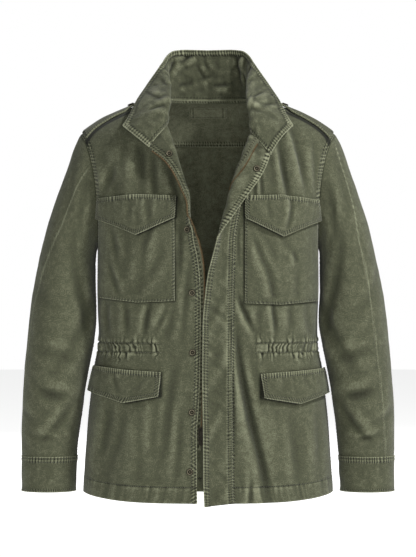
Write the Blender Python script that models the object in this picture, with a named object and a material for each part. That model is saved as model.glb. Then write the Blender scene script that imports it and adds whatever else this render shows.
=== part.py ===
"""A field jacket, filled out as if worn, with nobody in it.

Sizes are in millimetres until the meshes are made. X points to the wearer's left, Y to the back and Z up.
The origin is the middle of the neck opening, at the height of the back neck seam.
"""

import bpy
import bmesh
import numpy as np
from mathutils import Matrix, Vector


def table(columns, *rows):
    """A short table, as a dict with an array for each named column."""
    return dict(zip(columns.split(), np.array(rows, float).T))


# Cloth and gaps
CLOTH = 1.6
DOUBLE_CLOTH = 2.6
COLLAR_WALL = 3.0
TAPE_WALL = 1.2
GAP = 0.3

# Heights
ARMPIT_Z = -270.0
HEM_FRONT_Z = -729.0
HEM_BACK_Z = -735.0
HEM_SIDE_RISE = {False: 12.0, True: 18.0}
YOKE_Z = -76.0

# Section of the body at each height: half its width, and its depth to the front and to the back
BODY = table(
    "z half front back",
    (-745, 232, 129, 135),
    (-713, 230, 128, 134),
    (-656, 226, 127, 133),
    (-585, 221, 125, 131),
    (-539, 216, 122, 128),
    (-489, 210, 117, 121),
    (-443, 201.5, 112, 115),
    (-400, 202, 115, 118),
    (-340, 204, 121, 125),
    (-270, 203.5, 126, 131),
    (-230, 206, 128, 133),
    (-200, 211, 128, 134),
    (-170, 216, 128, 135),
    (-140, 224, 128, 136),
    (-110, 234, 128, 137),
    (-80, 250, 128, 138),
    (-50, 270, 128, 138),
    (60, 320, 128, 138),
)
SIDE_ROUND = 2.5
SHOULDER_ROUND = 2.2

# Height of the shoulder line at each distance from the middle
SHOULDER = table(
    "x z", (0, 45), (50, 29), (88, 6), (134, -8), (192, -33), (214, -46), (236, -62), (262, -86)
)
NECK_SIDE_X = 88.0
SHOULDER_TIP_X = 236.0
BACK_NECK_Z = 6.6

# Armhole: how far out the body ends, by level from the armpit (0) to the shoulder line (1)
ARMHOLE = table(
    "level x",
    (0, 203.5), (0.1, 200.5), (0.25, 200), (0.4, 202.5), (0.55, 206),
    (0.7, 212), (0.8, 217.5), (0.9, 225), (0.96, 231), (1, 236),
)

# Front edge of each side, by the height of the line where it turns back. Roll and edge are distances
# from the middle, drop is how far lower the edge lies, lift how far it stands out, and fold how far
# it is turned back, from 0 to 1.
RIGHT_EDGE = table(
    "z roll edge drop lift fold",
    (-745, 35, 19.5, 0, 1, 0),
    (-684, 34, 20, 0, 1, 0),
    (-608, 34, 20, 0, 1, 0),
    (-560, 32.5, 17, 0, 1, 0),
    (-500, 30.5, 14.3, 0, 1, 0),
    (-366, 29, 13, 0, 1, 0),
    (-328, 30, 14.3, 0, 1.5, 0),
    (-290, 32, 19, 0, 3, 0.05),
    (-256, 38, 26, 0, 4, 0.1),
    (-240, 42, 28, 0, 5.5, 0.15),
    (-222, 42, 34, 1.5, 8.5, 0.5),
    (-208, 41, 36, 3, 10.5, 0.8),
    (-187, 40.5, 37, 5, 11.5, 0.9),
    (-156, 46, 47, 8, 13, 1),
    (-126, 54, 59, 12, 14, 1),
    (-94.5, 63, 74, 22, 15, 1),
    (-71.5, 70.5, 88, 33, 15.5, 1),
    (-45.8, 80, 104.3, 47, 16, 1),
)
LEFT_EDGE = table(
    "z roll edge drop lift fold",
    (-745, 16, -5, 0, 7.5, 0),
    (-683, 15, -7.9, 0, 7.5, 0),
    (-608, 14, -8.4, 0, 7.5, 0),
    (-498, 14, -9.9, 0, 7.5, 0),
    (-410, 15, -9, 0, 7.5, 0),
    (-350, 18, -4.1, 0, 7.8, 0.05),
    (-320, 21, 0, 0, 8.2, 0.15),
    (-278, 26, 10.8, 0, 9.5, 0.4),
    (-258, 27.5, 16, 2, 10.5, 0.6),
    (-240.5, 29, 25, 2.5, 11.5, 0.8),
    (-213.6, 34.5, 42, 5.5, 12.5, 1),
    (-183, 43, 60, 10, 13.5, 1),
    (-152.6, 53, 77, 17, 14.5, 1),
    (-120.4, 64, 93, 27, 15.5, 1),
    (-90, 73.5, 105, 34, 16, 1),
    (-60.3, 84.5, 111.3, 47, 16, 1),
)
EDGE = {-1: RIGHT_EDGE, 1: LEFT_EDGE}
NECK_TOP_Z = {-1: -45.8, 1: -60.3}
ROLL_REACH = 9.0

# Seam that joins the left fly strip to the left front, by height
FLY_SEAM = table(
    "z x",
    (-745, 47), (-700, 43.5), (-498, 43), (-258, 46), (-240, 48), (-213, 53),
    (-183, 60), (-152, 68), (-120, 76), (-90, 82), (-60.3, 87),
)
FLY_WIDTH = 52.0
FLY_DROP = 5.5
FLY_DROP_TOP_Z = -670.0

# Rows of points below the armpits, by height, and how far the waist gathers stand out there
LOWER_ROWS = table(
    "z gather",
    (-729, 0), (-700, 0), (-655, 0), (-610, 0), (-565, 0), (-522, 0), (-482, 0),
    (-466, 1), (-459.5, 0.3), (-451, 1), (-443, 0.3), (-434, 1),
    (-418, 0), (-385, 0), (-345, 0), (-305, 0), (-270, 0),
)
UPPER_SHARES = (0.008, 0.035, 0.1, 0.2, 0.33, 0.47, 0.61, 0.75, 0.88)
NECK_SHARES = (0.35, 0.65, 0.87, 0.97, 1.0)
UPPER_BACK_ROWS = (-268.5, -264, -254, -238, -215, -185, -150, -115)
YOKE_SHARES = (0, 0.25, 0.5, 0.72, 0.88, 0.97, 1)
GATHER_RISE = 2.4
FRONT_GATHERS = 15
BACK_GATHERS = 31
FRONT_GATHER_X = 85.0
FRONT_COLUMNS = 10
LAPEL_COLUMNS = 6
FLY_COLUMNS = 3
BACK_COLUMNS = 20
SEAM_ZONE = 3.0
CLEAR_OF_ROLL = 20.0

# Largest folds of the body: from (x, z) to (x, z), depth (a trough is negative) and width
FRONT_FOLDS = table(
    "x1 z1 x2 z2 push width",
    (56, -430, 78, -600, -5, 13),
    (78, -600, 110, -725, -7, 12),
    (76, -655, 74, -728, -4, 7),
    (128, -90, 144, -152, -3.5, 10),
    (154, -74, 172, -146, -3.5, 10),
    (102, -110, 106, -156, -2, 10),
    (-130, -90, -105, -146, -4, 13),
    (-190, -112, -160, -150, -4, 11),
    (-60, -500, -90, -640, -3, 16),
    (-160, -580, -190, -700, -3, 15),
    (-60, -380, -75, -425, -3, 10),
    (150, -560, 170, -700, -3, 16),
)
BACK_FOLDS = table(
    "x1 z1 x2 z2 push width",
    (-150, -120, -95, -260, -4, 16),
    (150, -120, 100, -250, -4, 15),
    (-60, -500, -85, -700, -6, 15),
    (70, -500, 92, -690, -5, 16),
    (5, -520, -8, -700, -3, 14),
    (-150, -300, -120, -400, -4, 14),
    (145, -310, 120, -405, -4, 14),
)

# Sleeve: outer and inner line, depth, how far forward it hangs, and how far its ring has turned
# from the armhole's shape into an oval
SLEEVE = table(
    "outer_x outer_z inner_x inner_z depth forward oval",
    (236, -62, 203.5, -270, 60, 0, 0),
    (247, -86, 205.5, -277, 61, 0, 0.35),
    (261, -126, 206.5, -288, 62, 1, 0.7),
    (279, -176, 207.2, -303, 63, 2, 0.9),
    (297, -232, 207.2, -323, 64, 4, 1),
    (313, -300, 206.8, -352, 64, 6, 1),
    (325, -372, 206.5, -398, 62, 9, 1),
    (332, -440, 211, -446, 59, 12, 1),
    (338, -505, 221.5, -502, 55, 14, 1),
    (341.5, -570, 230.5, -564, 50, 14, 1),
    (342.5, -618, 237, -613, 45, 13, 1),
    (342.5, -652, 241, -652, 42, 12, 1),
)
CUFF = table(
    "z outer inner depth forward",
    (-652.3, 343.2, 240.3, 42.7, 12),
    (-684, 343.2, 242.2, 41, 12),
    (-717, 343.2, 243.6, 40, 12),
)
SLEEVE_SIDES = 22
SLEEVE_ROWS = 16
SEAM_SHIFT = (0.4, -0.2)
SLEEVE_FOLDS = table(
    "turn1 step1 turn2 step2 push width",
    (60, 6.2, 150, 7.6, -4, 0.35),
    (50, 7.4, 140, 8.4, -3.5, 0.3),
    (230, 6.0, 300, 7.2, -4, 0.4),
    (30, 9.2, 130, 9.9, -3, 0.3),
    (100, 2.0, 150, 4.5, -4, 0.5),
)

# Collar, from the middle of the back (0) to the front end (1): the point that its wall bends towards
# and its top edge, with x as a distance from the middle
COLLAR = table(
    "at mid_x mid_y mid_z top_x top_y top_z",
    (0.00, 0, 79, 55, 0, 74, 104),
    (0.15, 40, 73, 55, 40, 70, 104.5),
    (0.23, 61, 62, 53, 61, 59, 102.5),
    (0.29, 74, 48, 50, 75, 46, 92),
    (0.42, 58, -10, 45, 92, 22, 62),
    (0.56, 46, -62, 22, 113, 0, 28),
    (0.69, 46, -98, 4, 131, -42, -5),
    (0.80, 66, -110, -22, 142, -68, -32),
    (1.00, 129, -110, -72, 153.5, -86, -52),
)
COLLAR_COLUMNS = 20
COLLAR_ROWS = 7
COLLAR_GAP = (0.5, 2.1)

# Pockets and flaps of each side, by share of the width from the inner to the outer end. Lean is how
# much further out the lower edge is than the upper one.
CHEST_POCKET = {
    -1: table("share x lean top bottom", (0, 60, 0, -192, -366), (0.5, 128, 0, -192, -369), (1, 196.5, 0, -192, -361)),
    1: table("share x lean top bottom", (0, 66, 0, -192, -370), (0.5, 131, 0, -192, -373), (1, 197, 0, -199, -367)),
}
CHEST_FLAP = {
    -1: table("share x lean top bottom", (0, 57.5, 1, -179, -217), (0.49, 126, 0, -175.5, -247), (1, 198, 0, -181, -217)),
    1: table("share x lean top bottom", (0, 66, 0, -179, -218), (0.5, 132, 1, -176.5, -250), (1, 198, 1, -184, -220)),
}
HIP_FLAP = {
    -1: table("share x lean top bottom", (0, 84, 5, -495, -538), (0.52, 146, 6, -491.5, -550), (1, 204, 8, -486, -532)),
    1: table("share x lean top bottom", (0, 95, 6, -498, -541), (0.54, 158, 7, -494, -552), (1, 210, 6, -488.5, -534)),
}
LAID_GAP = 0.6
SIDE_GAP = 1.4
POCKET_FULLNESS = 5.0
CHEST_FLAP_RISE = 8.0
HIP_FLAP_RISE = 3.6

# Epaulette along the shoulder, from its end at the armhole to its tip
EPAULETTE = table(
    "share front_x front_y back_x back_y lift",
    (0, 221, -37, 231, 12, 0.5),
    (0.35, 201, -37, 203, 12, 1.2),
    (0.8, 152, -35, 152, 11, 1.6),
    (1, 134, -21, 134, -3, 2.2),
)
EPAULETTE_WALL = 3.0
EPAULETTE_ROWS = (0, 0.12, 0.24, 0.36, 0.48, 0.6, 0.72, 0.8, 0.87, 0.94, 1)
EPAULETTE_COLUMNS = 5
EPAULETTE_SNAP_SHARE = 0.93

# Neck label on the inside of the yoke
LABEL_HALF_WIDTH = 36.0
LABEL_TOP_Z = -3.5
LABEL_BOTTOM_Z = -22.0
LABEL_WALL = 0.8

# Zip
TEETH_X = -12.6
TAPE_END_Z = -634.0
TAPE_FIRST_ROW = 8.0
TAPE_SKIPS_Z = (-466, -459.5, -443, -434)
TAPE_UPPER_LEVEL = 0.02
TAPE_COLUMNS = 3
RIGHT_TAPE_UNDER = 6.0
RIGHT_TAPE_OUT = table(
    "z out",
    (-634, 7), (-600, 7), (-500, 4.4), (-366, 6), (-290, 8.5), (-262, 8), (-240, 4), (-224, 2.5), (-205, 3.5), (-60, 5),
)
LEFT_TAPE_FROM_EDGE = (34.0, 46.0)
TAPE_GAP = 1.3
SLIDER_WIDTH = 9.6
SLIDER_TOP_Z = -593.0
SLIDER_BOTTOM_Z = -609.0
SLIDER_SLOT = 3.4
SLIDER_PLATE = 1.5
SLIDER_NECK = (1.2, 3.6, 7.0)
BOX_TOP_Z = -609.4
BOX_BOTTOM_Z = -624.0
BOX_WIDTH = 9.0
LUG_WIDTH = 1.0
LUG_REACH = 2.8
PULL_AXIS_Z = -600.0
PULL_AXIS_OUT = 1.7
PULL_LENGTH = 25.0
PULL_WIDTH = 3.6
PULL_THICK = 1.2
PULL_HOLE = (1.9, 5.0)
PIN_SIZE = (2.0, 2.0, 22.0)

# Snaps: height and distance from the middle
SNAP_RADIUS = 6.3
SNAP_HEIGHT = 2.4
ROLLED_SNAP_GAP = 1.2
LAPEL_SNAPS = {-1: (69.0, -104.0), 1: (87.0, -130.7)}
FRONT_SNAPS = table("x z", (-36.5, -240), (-28.7, -350.7), (-27.6, -459.7), (-28.7, -568), (-32.3, -676))

COLOURS = {
    "cloth": ((0.105, 0.115, 0.075, 1), 0.9, 0.0),
    "cloth_edge": ((0.125, 0.135, 0.09, 1), 0.9, 0.0),
    "zip_tape": ((0.06, 0.058, 0.035, 1), 0.9, 0.0),
    "brass": ((0.16, 0.1, 0.05, 1), 0.4, 1.0),
}


def between(at, places, values):
    """Values between a table's rows, on a smooth curve that doesn't overshoot them."""
    step = np.diff(places)
    slope = np.diff(values) / step
    product = slope[:-1] * slope[1:]
    total = slope[:-1] + slope[1:]
    inner = np.where(product > 0, 2 * product / np.where(total == 0, 1, total), 0)
    tangent = np.concatenate([slope[:1], inner, slope[-1:]])
    at = np.clip(at, places[0], places[-1])
    k = np.clip(np.searchsorted(places, at, side="right") - 1, 0, len(step) - 1)
    t = (at - places[k]) / step[k]
    start = (2 * t**3 - 3 * t**2 + 1) * values[k] + (t**3 - 2 * t**2 + t) * step[k] * tangent[k]
    end = (3 * t**2 - 2 * t**3) * values[k + 1] + (t**3 - t**2) * step[k] * tangent[k + 1]
    return start + end


def shoulder_z(x):
    return between(np.abs(x), SHOULDER["x"], SHOULDER["z"])


def hem_z(x, back):
    low = HEM_BACK_Z if back else HEM_FRONT_Z
    return low + HEM_SIDE_RISE[back] * np.clip(np.abs(x) / 230, 0, 1) ** 4


def height(level, x, back=False):
    """Height of a level at x: -1 is the hem, 0 the armpits and 1 the shoulder line."""
    below = ARMPIT_Z + level * (ARMPIT_Z - hem_z(x, back))
    above = ARMPIT_Z + level * (shoulder_z(x) - ARMPIT_Z)
    return np.where(np.asarray(level) < 0, below, above)


def level_of(z, x, back=False):
    below = (z - ARMPIT_Z) / (ARMPIT_Z - hem_z(x, back))
    above = (z - ARMPIT_Z) / (shoulder_z(x) - ARMPIT_Z)
    return np.where(np.asarray(z) < ARMPIT_Z, below, above)


def depth(x, z, back=False):
    """How far the body's cloth stands from the middle plane at x and z."""
    half = between(z, BODY["z"], BODY["half"])
    full = between(z, BODY["z"], BODY["back" if back else "front"])
    rise = np.clip((z - ARMPIT_Z) / (shoulder_z(x) - ARMPIT_Z), 0, 1)
    wide = np.clip(np.abs(x) / half, 0, 1)
    over_shoulder = (1 - rise**SHOULDER_ROUND) ** (1 / SHOULDER_ROUND)
    return full * over_shoulder * (1 - wide**SIDE_ROUND) ** (1 / SIDE_ROUND)


def body_points(x, z, back=False):
    y = depth(x, z, back) * (1 if back else -1)
    return np.stack([x, y, z + 0 * x], -1)


def body_normals(x, z, back=False, step=0.2):
    """Outward directions of the body's cloth at x and z."""
    half = between(z, BODY["z"], BODY["half"])
    x = np.clip(x, 0.002 - half, half - 0.002)
    side = (depth(x + 0.001, z, back) - depth(x - 0.001, z, back)) / 0.002
    up = (depth(x, z + step, back) - depth(x, z - step, back)) / (2 * step)
    normal = np.stack([-side, (1 if back else -1) + 0 * x, -up], -1)
    return normal / np.linalg.norm(normal, axis=-1, keepdims=True)


def folds(x, z, back=False):
    """How far the largest folds push the cloth out of its plain form at x and z."""
    rows = BACK_FOLDS if back else FRONT_FOLDS
    push = np.zeros(np.broadcast(x, z).shape)
    for k in range(len(rows["push"])):
        start = np.array([rows["x1"][k], rows["z1"][k]])
        along = np.array([rows["x2"][k], rows["z2"][k]]) - start
        length = np.linalg.norm(along)
        dx, dz = x - start[0], z - start[1]
        share = np.clip((dx * along[0] + dz * along[1]) / length**2, 0, 1)
        away = np.hypot(dx - share * along[0], dz - share * along[1])
        push = push + rows["push"][k] * np.exp(-((away / rows["width"][k]) ** 2))
    return push


def lengths(line):
    return np.concatenate([[0], np.cumsum(np.linalg.norm(np.diff(line, axis=0), axis=1))])


def sample(line, shares):
    """Points of a dense line at shares of its length."""
    run = lengths(line)
    return np.stack([np.interp(np.asarray(shares) * run[-1], run, line[:, k]) for k in range(3)], -1)


def body_line(side, level, outer, inner, back=False):
    """One row of a body panel, from its outer end to its inner end, as a dense line."""
    spread = np.linspace(0, 1, 240) ** 3
    x = outer + (inner - outer) * spread
    z = height(level, x, back)
    points = body_points(x, z, back)
    points[:, 0] *= side
    return points


def outer_end(level, back=False):
    """Where a row of a body panel ends: the side seam below the armpits, and the armhole above them."""
    if level > 0:
        return float(between(level, ARMHOLE["level"], ARMHOLE["x"]))
    return float(between(height(level, 230.0, back), BODY["z"], BODY["half"]))


def front_edge(side, level):
    """The front edge's table values at a level, with the height of the roll."""
    rows = EDGE[side]
    z = float(height(level, 30.0))
    for _ in range(4):
        row = {name: float(between(z, rows["z"], rows[name])) for name in rows}
        z = float(height(level, row["roll"]))
    row["z"] = z
    return row


def neck_level(side):
    return float(level_of(NECK_TOP_Z[side], EDGE[side]["roll"][-1]))


def neckline_x(side, level):
    """Where the front neckline runs, from the turned-back edge up to the side of the neck."""
    start = FLY_SEAM["x"][-1] if side == 1 else RIGHT_EDGE["roll"][-1]
    share = (level - neck_level(side)) / (1 - neck_level(side))
    return float(start + (NECK_SIDE_X - start) * share)


def main_line(side, level):
    """A front's row from the side seam or armhole to the roll or neckline."""
    if level > neck_level(side) + 1e-6:
        return body_line(side, level, outer_end(level), neckline_x(side, level))
    return body_line(side, level, outer_end(level), front_edge(side, level)["roll"])


def lapel_line(side, level):
    """A front's row from the roll to the free edge: flat below the opening, turned back above it."""
    row = front_edge(side, level)
    main = main_line(side, level)
    roll = main[-1]
    inward = roll - main[-6]
    inward = inward / np.linalg.norm(inward)
    edge_z = row["z"] - row["drop"]
    edge = np.array([side * row["edge"], -depth(abs(row["edge"]), edge_z) - row["lift"], edge_z])
    reach = np.linalg.norm(edge - roll)
    out = np.array([0, -row["lift"], 0])
    flat = (roll + inward * reach / 3, edge - (edge - roll) / 3)
    turned = (roll + inward * ROLL_REACH + 0.1 * out, roll + inward * ROLL_REACH + 0.95 * out)
    first, second = (a + (b - a) * row["fold"] for a, b in zip(flat, turned))
    t = np.linspace(0, 1, 120)[:, None]
    return (1 - t) ** 3 * roll + 3 * (1 - t) ** 2 * t * first + 3 * (1 - t) * t**2 * second + t**3 * edge


def surface(line_at, level, shares, low, high):
    """Points and outward normals of a row, from lines that a function gives for levels."""
    step = 1e-3
    line = line_at(level)
    points = sample(line, shares)
    across = sample(line, np.clip(shares + step, 0, 1)) - sample(line, np.clip(shares - step, 0, 1))
    up = sample(line_at(min(level + step, high)), shares) - sample(line_at(max(level - step, low)), shares)
    normals = np.cross(across, up)
    return points, normals / np.linalg.norm(normals, axis=1, keepdims=True)


class Shell:
    """Rows of cloth points that are joined into a wall with an even thickness."""

    def __init__(self):
        self.points, self.normals, self.raised, self.faces = [], [], [], []

    def row(self, points, normals, keys, raised=0.0):
        """Adds a row, and returns its points' numbers and keys, which say how far along each is."""
        start = len(self.points)
        self.points += list(points)
        self.normals += list(normals)
        self.raised += list(raised + np.zeros(len(points)))
        return list(zip(range(start, len(self.points)), keys))

    def join(self, lower, upper):
        """Triangles between two rows, which may have different numbers of points."""
        i = j = 0
        while i < len(lower) - 1 or j < len(upper) - 1:
            next_low = lower[i + 1][1] if i < len(lower) - 1 else np.inf
            next_high = upper[j + 1][1] if j < len(upper) - 1 else np.inf
            if next_low <= next_high:
                self.faces.append((lower[i][0], lower[i + 1][0], upper[j][0]))
                i += 1
            else:
                self.faces.append((lower[i][0], upper[j + 1][0], upper[j][0]))
                j += 1

    def rings(self, rows, whole):
        """Triangles between closed rows, whose keys run up to the given value."""
        self.grid([row + [(row[0][0], whole)] for row in rows])

    def grid(self, rows):
        for lower, upper in zip(rows, rows[1:]):
            self.join(lower, upper)

    def at(self, places):
        """Points and outward directions at some of the points that row() returned."""
        return [(self.points[place[0]], self.normals[place[0]]) for place in places]

    def object(self, name, wall, finish, inside_first=False):
        """The closed wall as an object: these points are its outside, or its inside."""
        points, normals = np.array(self.points), np.array(self.normals)
        raised = np.array(self.raised)[:, None]
        outer = points + normals * (raised + (wall if inside_first else 0))
        inner = points - normals * (0 if inside_first else wall)
        a, b, c = (outer[[face[k] for face in self.faces]] for k in range(3))
        facing = (np.cross(b - a, c - a) * normals[[face[0] for face in self.faces]]).sum()
        faces = [face if facing > 0 else face[::-1] for face in self.faces]
        count = len(points)
        edges = {(face[k], face[(k + 1) % 3]) for face in faces for k in range(3)}
        rim = sorted(edge for edge in edges if edge[::-1] not in edges)
        every = faces + [tuple(count + k for k in face[::-1]) for face in faces]
        every += [(b, a, count + a, count + b) for a, b in rim]
        mesh = bpy.data.meshes.new(name)
        mesh.from_pydata((np.concatenate([outer, inner]) * 0.001).tolist(), [], every)
        return add_object(name, mesh, finish)


def add_object(name, mesh, finish):
    obj = bpy.data.objects.new(name, mesh)
    PARTS.objects.link(obj)
    obj.data.materials.clear()
    obj.data.materials.append(FINISHES[finish])
    obj.data.shade_smooth()
    obj.data.set_sharp_from_angle(angle=0.7)
    return obj


def make_finish(name, colour, roughness, metallic):
    material = bpy.data.materials.new(name)
    material.use_nodes = True
    shader = material.node_tree.nodes["Principled BSDF"]
    shader.inputs["Base Color"].default_value = colour
    shader.inputs["Roughness"].default_value = roughness
    shader.inputs["Metallic"].default_value = metallic
    material.diffuse_color = colour
    return material


def side_name(name, side):
    return f"{name}_{'left' if side == 1 else 'right'}"


def lower_levels():
    return level_of(LOWER_ROWS["z"], 0.0)


def gathered(line, start, end):
    """Shares and raises of a front row's points, dense where the waist is gathered."""
    run = lengths(line)
    far = np.interp(FRONT_GATHER_X, np.abs(line[::-1, 0]), run[::-1])
    pleats = np.linspace(start * run[-1], far, 2 * FRONT_GATHERS + 1)
    raised = np.arange(len(pleats)) % 2
    plain = max(3, round(FRONT_COLUMNS * (1 - far / run[-1])) + 1)
    rest = np.linspace(far, end * run[-1], plain)[1:]
    return np.concatenate([pleats, rest]) / run[-1], np.concatenate([raised, np.zeros(len(rest))])


def front_levels(side):
    """Levels of a front's rows from the hem to its neck corner."""
    neck = neck_level(side)
    return list(lower_levels()) + [share * neck for share in UPPER_SHARES] + [neck]


def straight_at_seam(points, normals):
    """Turns the directions at a side seam level with the seam, so that both walls keep their gap."""
    near = np.abs(points[:, 1]) < SEAM_ZONE
    normals[near, 1] = 0
    return normals / np.linalg.norm(normals, axis=1, keepdims=True)


def fold_raise(points, back=False):
    return folds(points[:, 0], points[:, 2], back)


def front_panel(side):
    """A front, from the side seam and armhole to its fly seam, or with its turned-back edge."""
    shell = Shell()
    neck = neck_level(side)
    levels = front_levels(side)
    gathers = list(LOWER_ROWS["gather"]) + [0] * (len(levels) - len(LOWER_ROWS["gather"]))
    rows, ends = [], []
    for level, gather in zip(levels, gathers):
        line = main_line(side, level)
        run = lengths(line)[-1]
        start, end = GAP / 2 / run, 1.0
        if side == 1:
            z = float(height(level, 45.0))
            seam = float(between(z, FLY_SEAM["z"], FLY_SEAM["x"]))
            end = np.interp(seam, line[::-1, 0], lengths(line)[::-1] / run) - GAP / 2 / run
        if gather:
            shares, raised = gathered(line, start, end)
        else:
            shares = np.linspace(start, end, FRONT_COLUMNS + 1)
            raised = np.zeros(len(shares))
        low, high = (levels[0], 0.0) if level <= 0 else (1e-6, neck)
        points, normals = surface(lambda at: main_line(side, at), level, shares, low, high)
        outward = -np.sign(normals[len(normals) // 2, 1])
        normals = straight_at_seam(points, normals * outward)
        keys = (shares - start) / (end - start)
        raised = raised * gather * GATHER_RISE
        if side == -1:
            shares = np.linspace(0, 1, LAPEL_COLUMNS + 1)[1:]
            more, turned = surface(lambda at: lapel_line(side, at), level, shares, low, high)
            points, normals = np.vstack([points, more]), np.vstack([normals, turned * outward])
            keys = np.concatenate([keys, 1 + shares])
            raised = np.concatenate([raised, np.zeros(len(shares))])
        points = points + normals * fold_raise(points)[:, None]
        rows.append(shell.row(points, normals, keys, raised))
        ends.append((level, points[0], normals[0]))
    shell.grid(rows)
    last = rows[-1][: FRONT_COLUMNS + 1]
    necks = [last]
    for share in NECK_SHARES:
        level = neck + (1 - neck) * share
        line = main_line(side, level)
        end_gap = GAP / 2 / lengths(line)[-1]
        shares = np.linspace(end_gap, 1, FRONT_COLUMNS + 1)
        points, normals = surface(lambda at: main_line(side, at), level, shares, neck + 2e-3, 1)
        if share == 1:
            points[:, 1] -= GAP / 2
            normals = np.tile([0, 0, 1.0], (len(points), 1))
            normals[:, 0] = side * 0.35
            normals /= np.linalg.norm(normals, axis=1, keepdims=True)
        else:
            normals *= -np.sign(normals[len(normals) // 2, 1])
        points = points + normals * fold_raise(points)[:, None]
        row = shell.row(points, normals, (shares - end_gap) / (1 - end_gap))
        shell.join(last, row)
        last = row
        ends.append((level, points[0], normals[0]))
        necks.append(row)
    shell.object(side_name("front", side), CLOTH, "cloth")
    neck_row = rows[-1] if side == -1 else []
    necks = shell.at([row[-1] for row in necks[-2::-1]] + neck_row[FRONT_COLUMNS + 1 :])
    return [end[1:] for end in ends if end[0] >= 0], necks


def fly_strip():
    """The double strip on the wearer's left that covers the zip, turned back at the top."""
    shell = Shell()
    neck = neck_level(1)
    rows = []
    for level in front_levels(1):
        line = main_line(1, level)
        run = lengths(line)
        seam = float(between(float(height(level, 45.0)), FLY_SEAM["z"], FLY_SEAM["x"]))
        start = np.interp(seam, line[::-1, 0], run[::-1] / run[-1]) + GAP / 2 / run[-1]
        low, high = (-1.0, 0.0) if level <= 0 else (1e-6, neck)
        shares = np.linspace(start, 1, FLY_COLUMNS + 1)
        points, normals = surface(lambda at: main_line(1, at), level, shares, low, high)
        outward = -np.sign(normals[0, 1])
        normals = normals * outward
        points = points + normals * fold_raise(points)[:, None]
        lapel = np.linspace(0, 1, LAPEL_COLUMNS + 1)[1:]
        more, turned = surface(lambda at: lapel_line(1, at), level, lapel, low, high)
        turned = turned * outward
        keys = np.concatenate([np.linspace(0, 1, FLY_COLUMNS + 1), 1 + lapel])
        points = np.vstack([points, more])
        near_hem = np.clip((FLY_DROP_TOP_Z - points[:, 2]) / (FLY_DROP_TOP_Z - HEM_FRONT_Z), 0, 1)
        points[:, 2] -= FLY_DROP * near_hem * np.clip((seam - points[:, 0]) / FLY_WIDTH, 0, 1)
        rows.append(shell.row(points, np.vstack([normals, turned]), keys))
    shell.grid(rows)
    shell.object("fly_left", DOUBLE_CLOTH, "cloth")
    return shell.at(rows[-1][1:])


def armhole_x(z, back):
    """Where a row at one height ends at the armhole."""
    x = SHOULDER_TIP_X
    for _ in range(12):
        x = 0.5 * x + 0.5 * outer_end(float(np.clip(level_of(z, x, back), 1e-6, 1)), back)
    return x


def mirrored(half):
    """A row across the back, from a row that runs from its outer end to the middle."""
    other = half[-2::-1] * [-1, 1, 1]
    return np.vstack([half, other])


def back_row(shell, z, gather):
    """A row of the back panel, from one side seam or armhole to the other."""
    above = z > ARMPIT_Z
    outer = armhole_x(z, True) if above else outer_end(float(level_of(z, 0.0, True)), True)
    spread = outer * (1 - np.linspace(0, 1, 240) ** 3)
    level = level_of(z, 0.0, True)
    heights = np.full(240, z) if above else height(level, spread, True)
    line = body_points(spread, heights, True)
    run = lengths(line)[-1]
    count = BACK_GATHERS if gather else BACK_COLUMNS // 2
    shares = np.linspace(GAP / 2 / run, 1, count + 1)
    half = sample(line, shares)
    raised = np.arange(count + 1) % 2 * gather * GATHER_RISE
    points = mirrored(half)
    normals = straight_at_seam(half, body_normals(half[:, 0], half[:, 2], True))
    normals = np.vstack([normals, normals[-2::-1] * [-1, 1, 1]])
    points = points + normals * folds(points[:, 0], points[:, 2], True)[:, None]
    keys = np.linspace(0, 1, 2 * count + 1)
    return shell.row(points, normals, keys, np.concatenate([raised, raised[-2::-1]]))


def back_panel():
    """The back below its yoke. It returns the ends of its rows at the armholes."""
    shell = Shell()
    lower = [HEM_BACK_Z if z == HEM_FRONT_Z else z for z in LOWER_ROWS["z"]]
    rows = [back_row(shell, z, gather) for z, gather in zip(lower, LOWER_ROWS["gather"])]
    rows += [back_row(shell, z, 0) for z in UPPER_BACK_ROWS + (YOKE_Z - GAP / 2,)]
    shell.grid(rows)
    shell.object("back", CLOTH, "cloth")
    return shell.at(row[0] for row in rows[len(lower) - 1 :])


def yoke_top_z(x):
    """Top of the yoke: the back neckline, and the shoulder line beyond it."""
    return np.where(np.abs(x) < NECK_SIDE_X, BACK_NECK_Z - 0.6 * (x / NECK_SIDE_X) ** 2, shoulder_z(x))


def yoke_panel():
    """The yoke over the back and shoulders. It returns the ends of its rows at the armholes."""
    shell = Shell()
    rows = []
    for share in YOKE_SHARES:
        low = YOKE_Z + GAP / 2
        tip_z = low + share * (SHOULDER["z"][-2] - low)
        outer = armhole_x(tip_z, True) if share < 1 else SHOULDER_TIP_X
        turn = np.linspace(0, np.pi / 2, 8)[1:]
        x = np.concatenate([np.linspace(outer - GAP / 2, NECK_SIDE_X, 8), NECK_SIDE_X * np.cos(turn)])
        z = low + share * (yoke_top_z(x) - low)
        half = body_points(x, z, True)
        normals = body_normals(x, np.minimum(z, shoulder_z(x) - 0.4), True)
        if share == 1:
            half[:8, 1] = GAP / 2
            normals[:8] = np.array([0.35, 0, 1]) / np.hypot(0.35, 1)
        points = mirrored(half)
        normals = np.vstack([normals, normals[-2::-1] * [-1, 1, 1]])
        points = points + normals * folds(points[:, 0], points[:, 2], True)[:, None]
        rows.append(shell.row(points, normals, np.linspace(0, 1, len(points))))
    shell.grid(rows)
    shell.object("back_yoke", CLOTH, "cloth")
    return shell.at(row[0] for row in rows), shell.at(rows[-1][7:-7])


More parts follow.
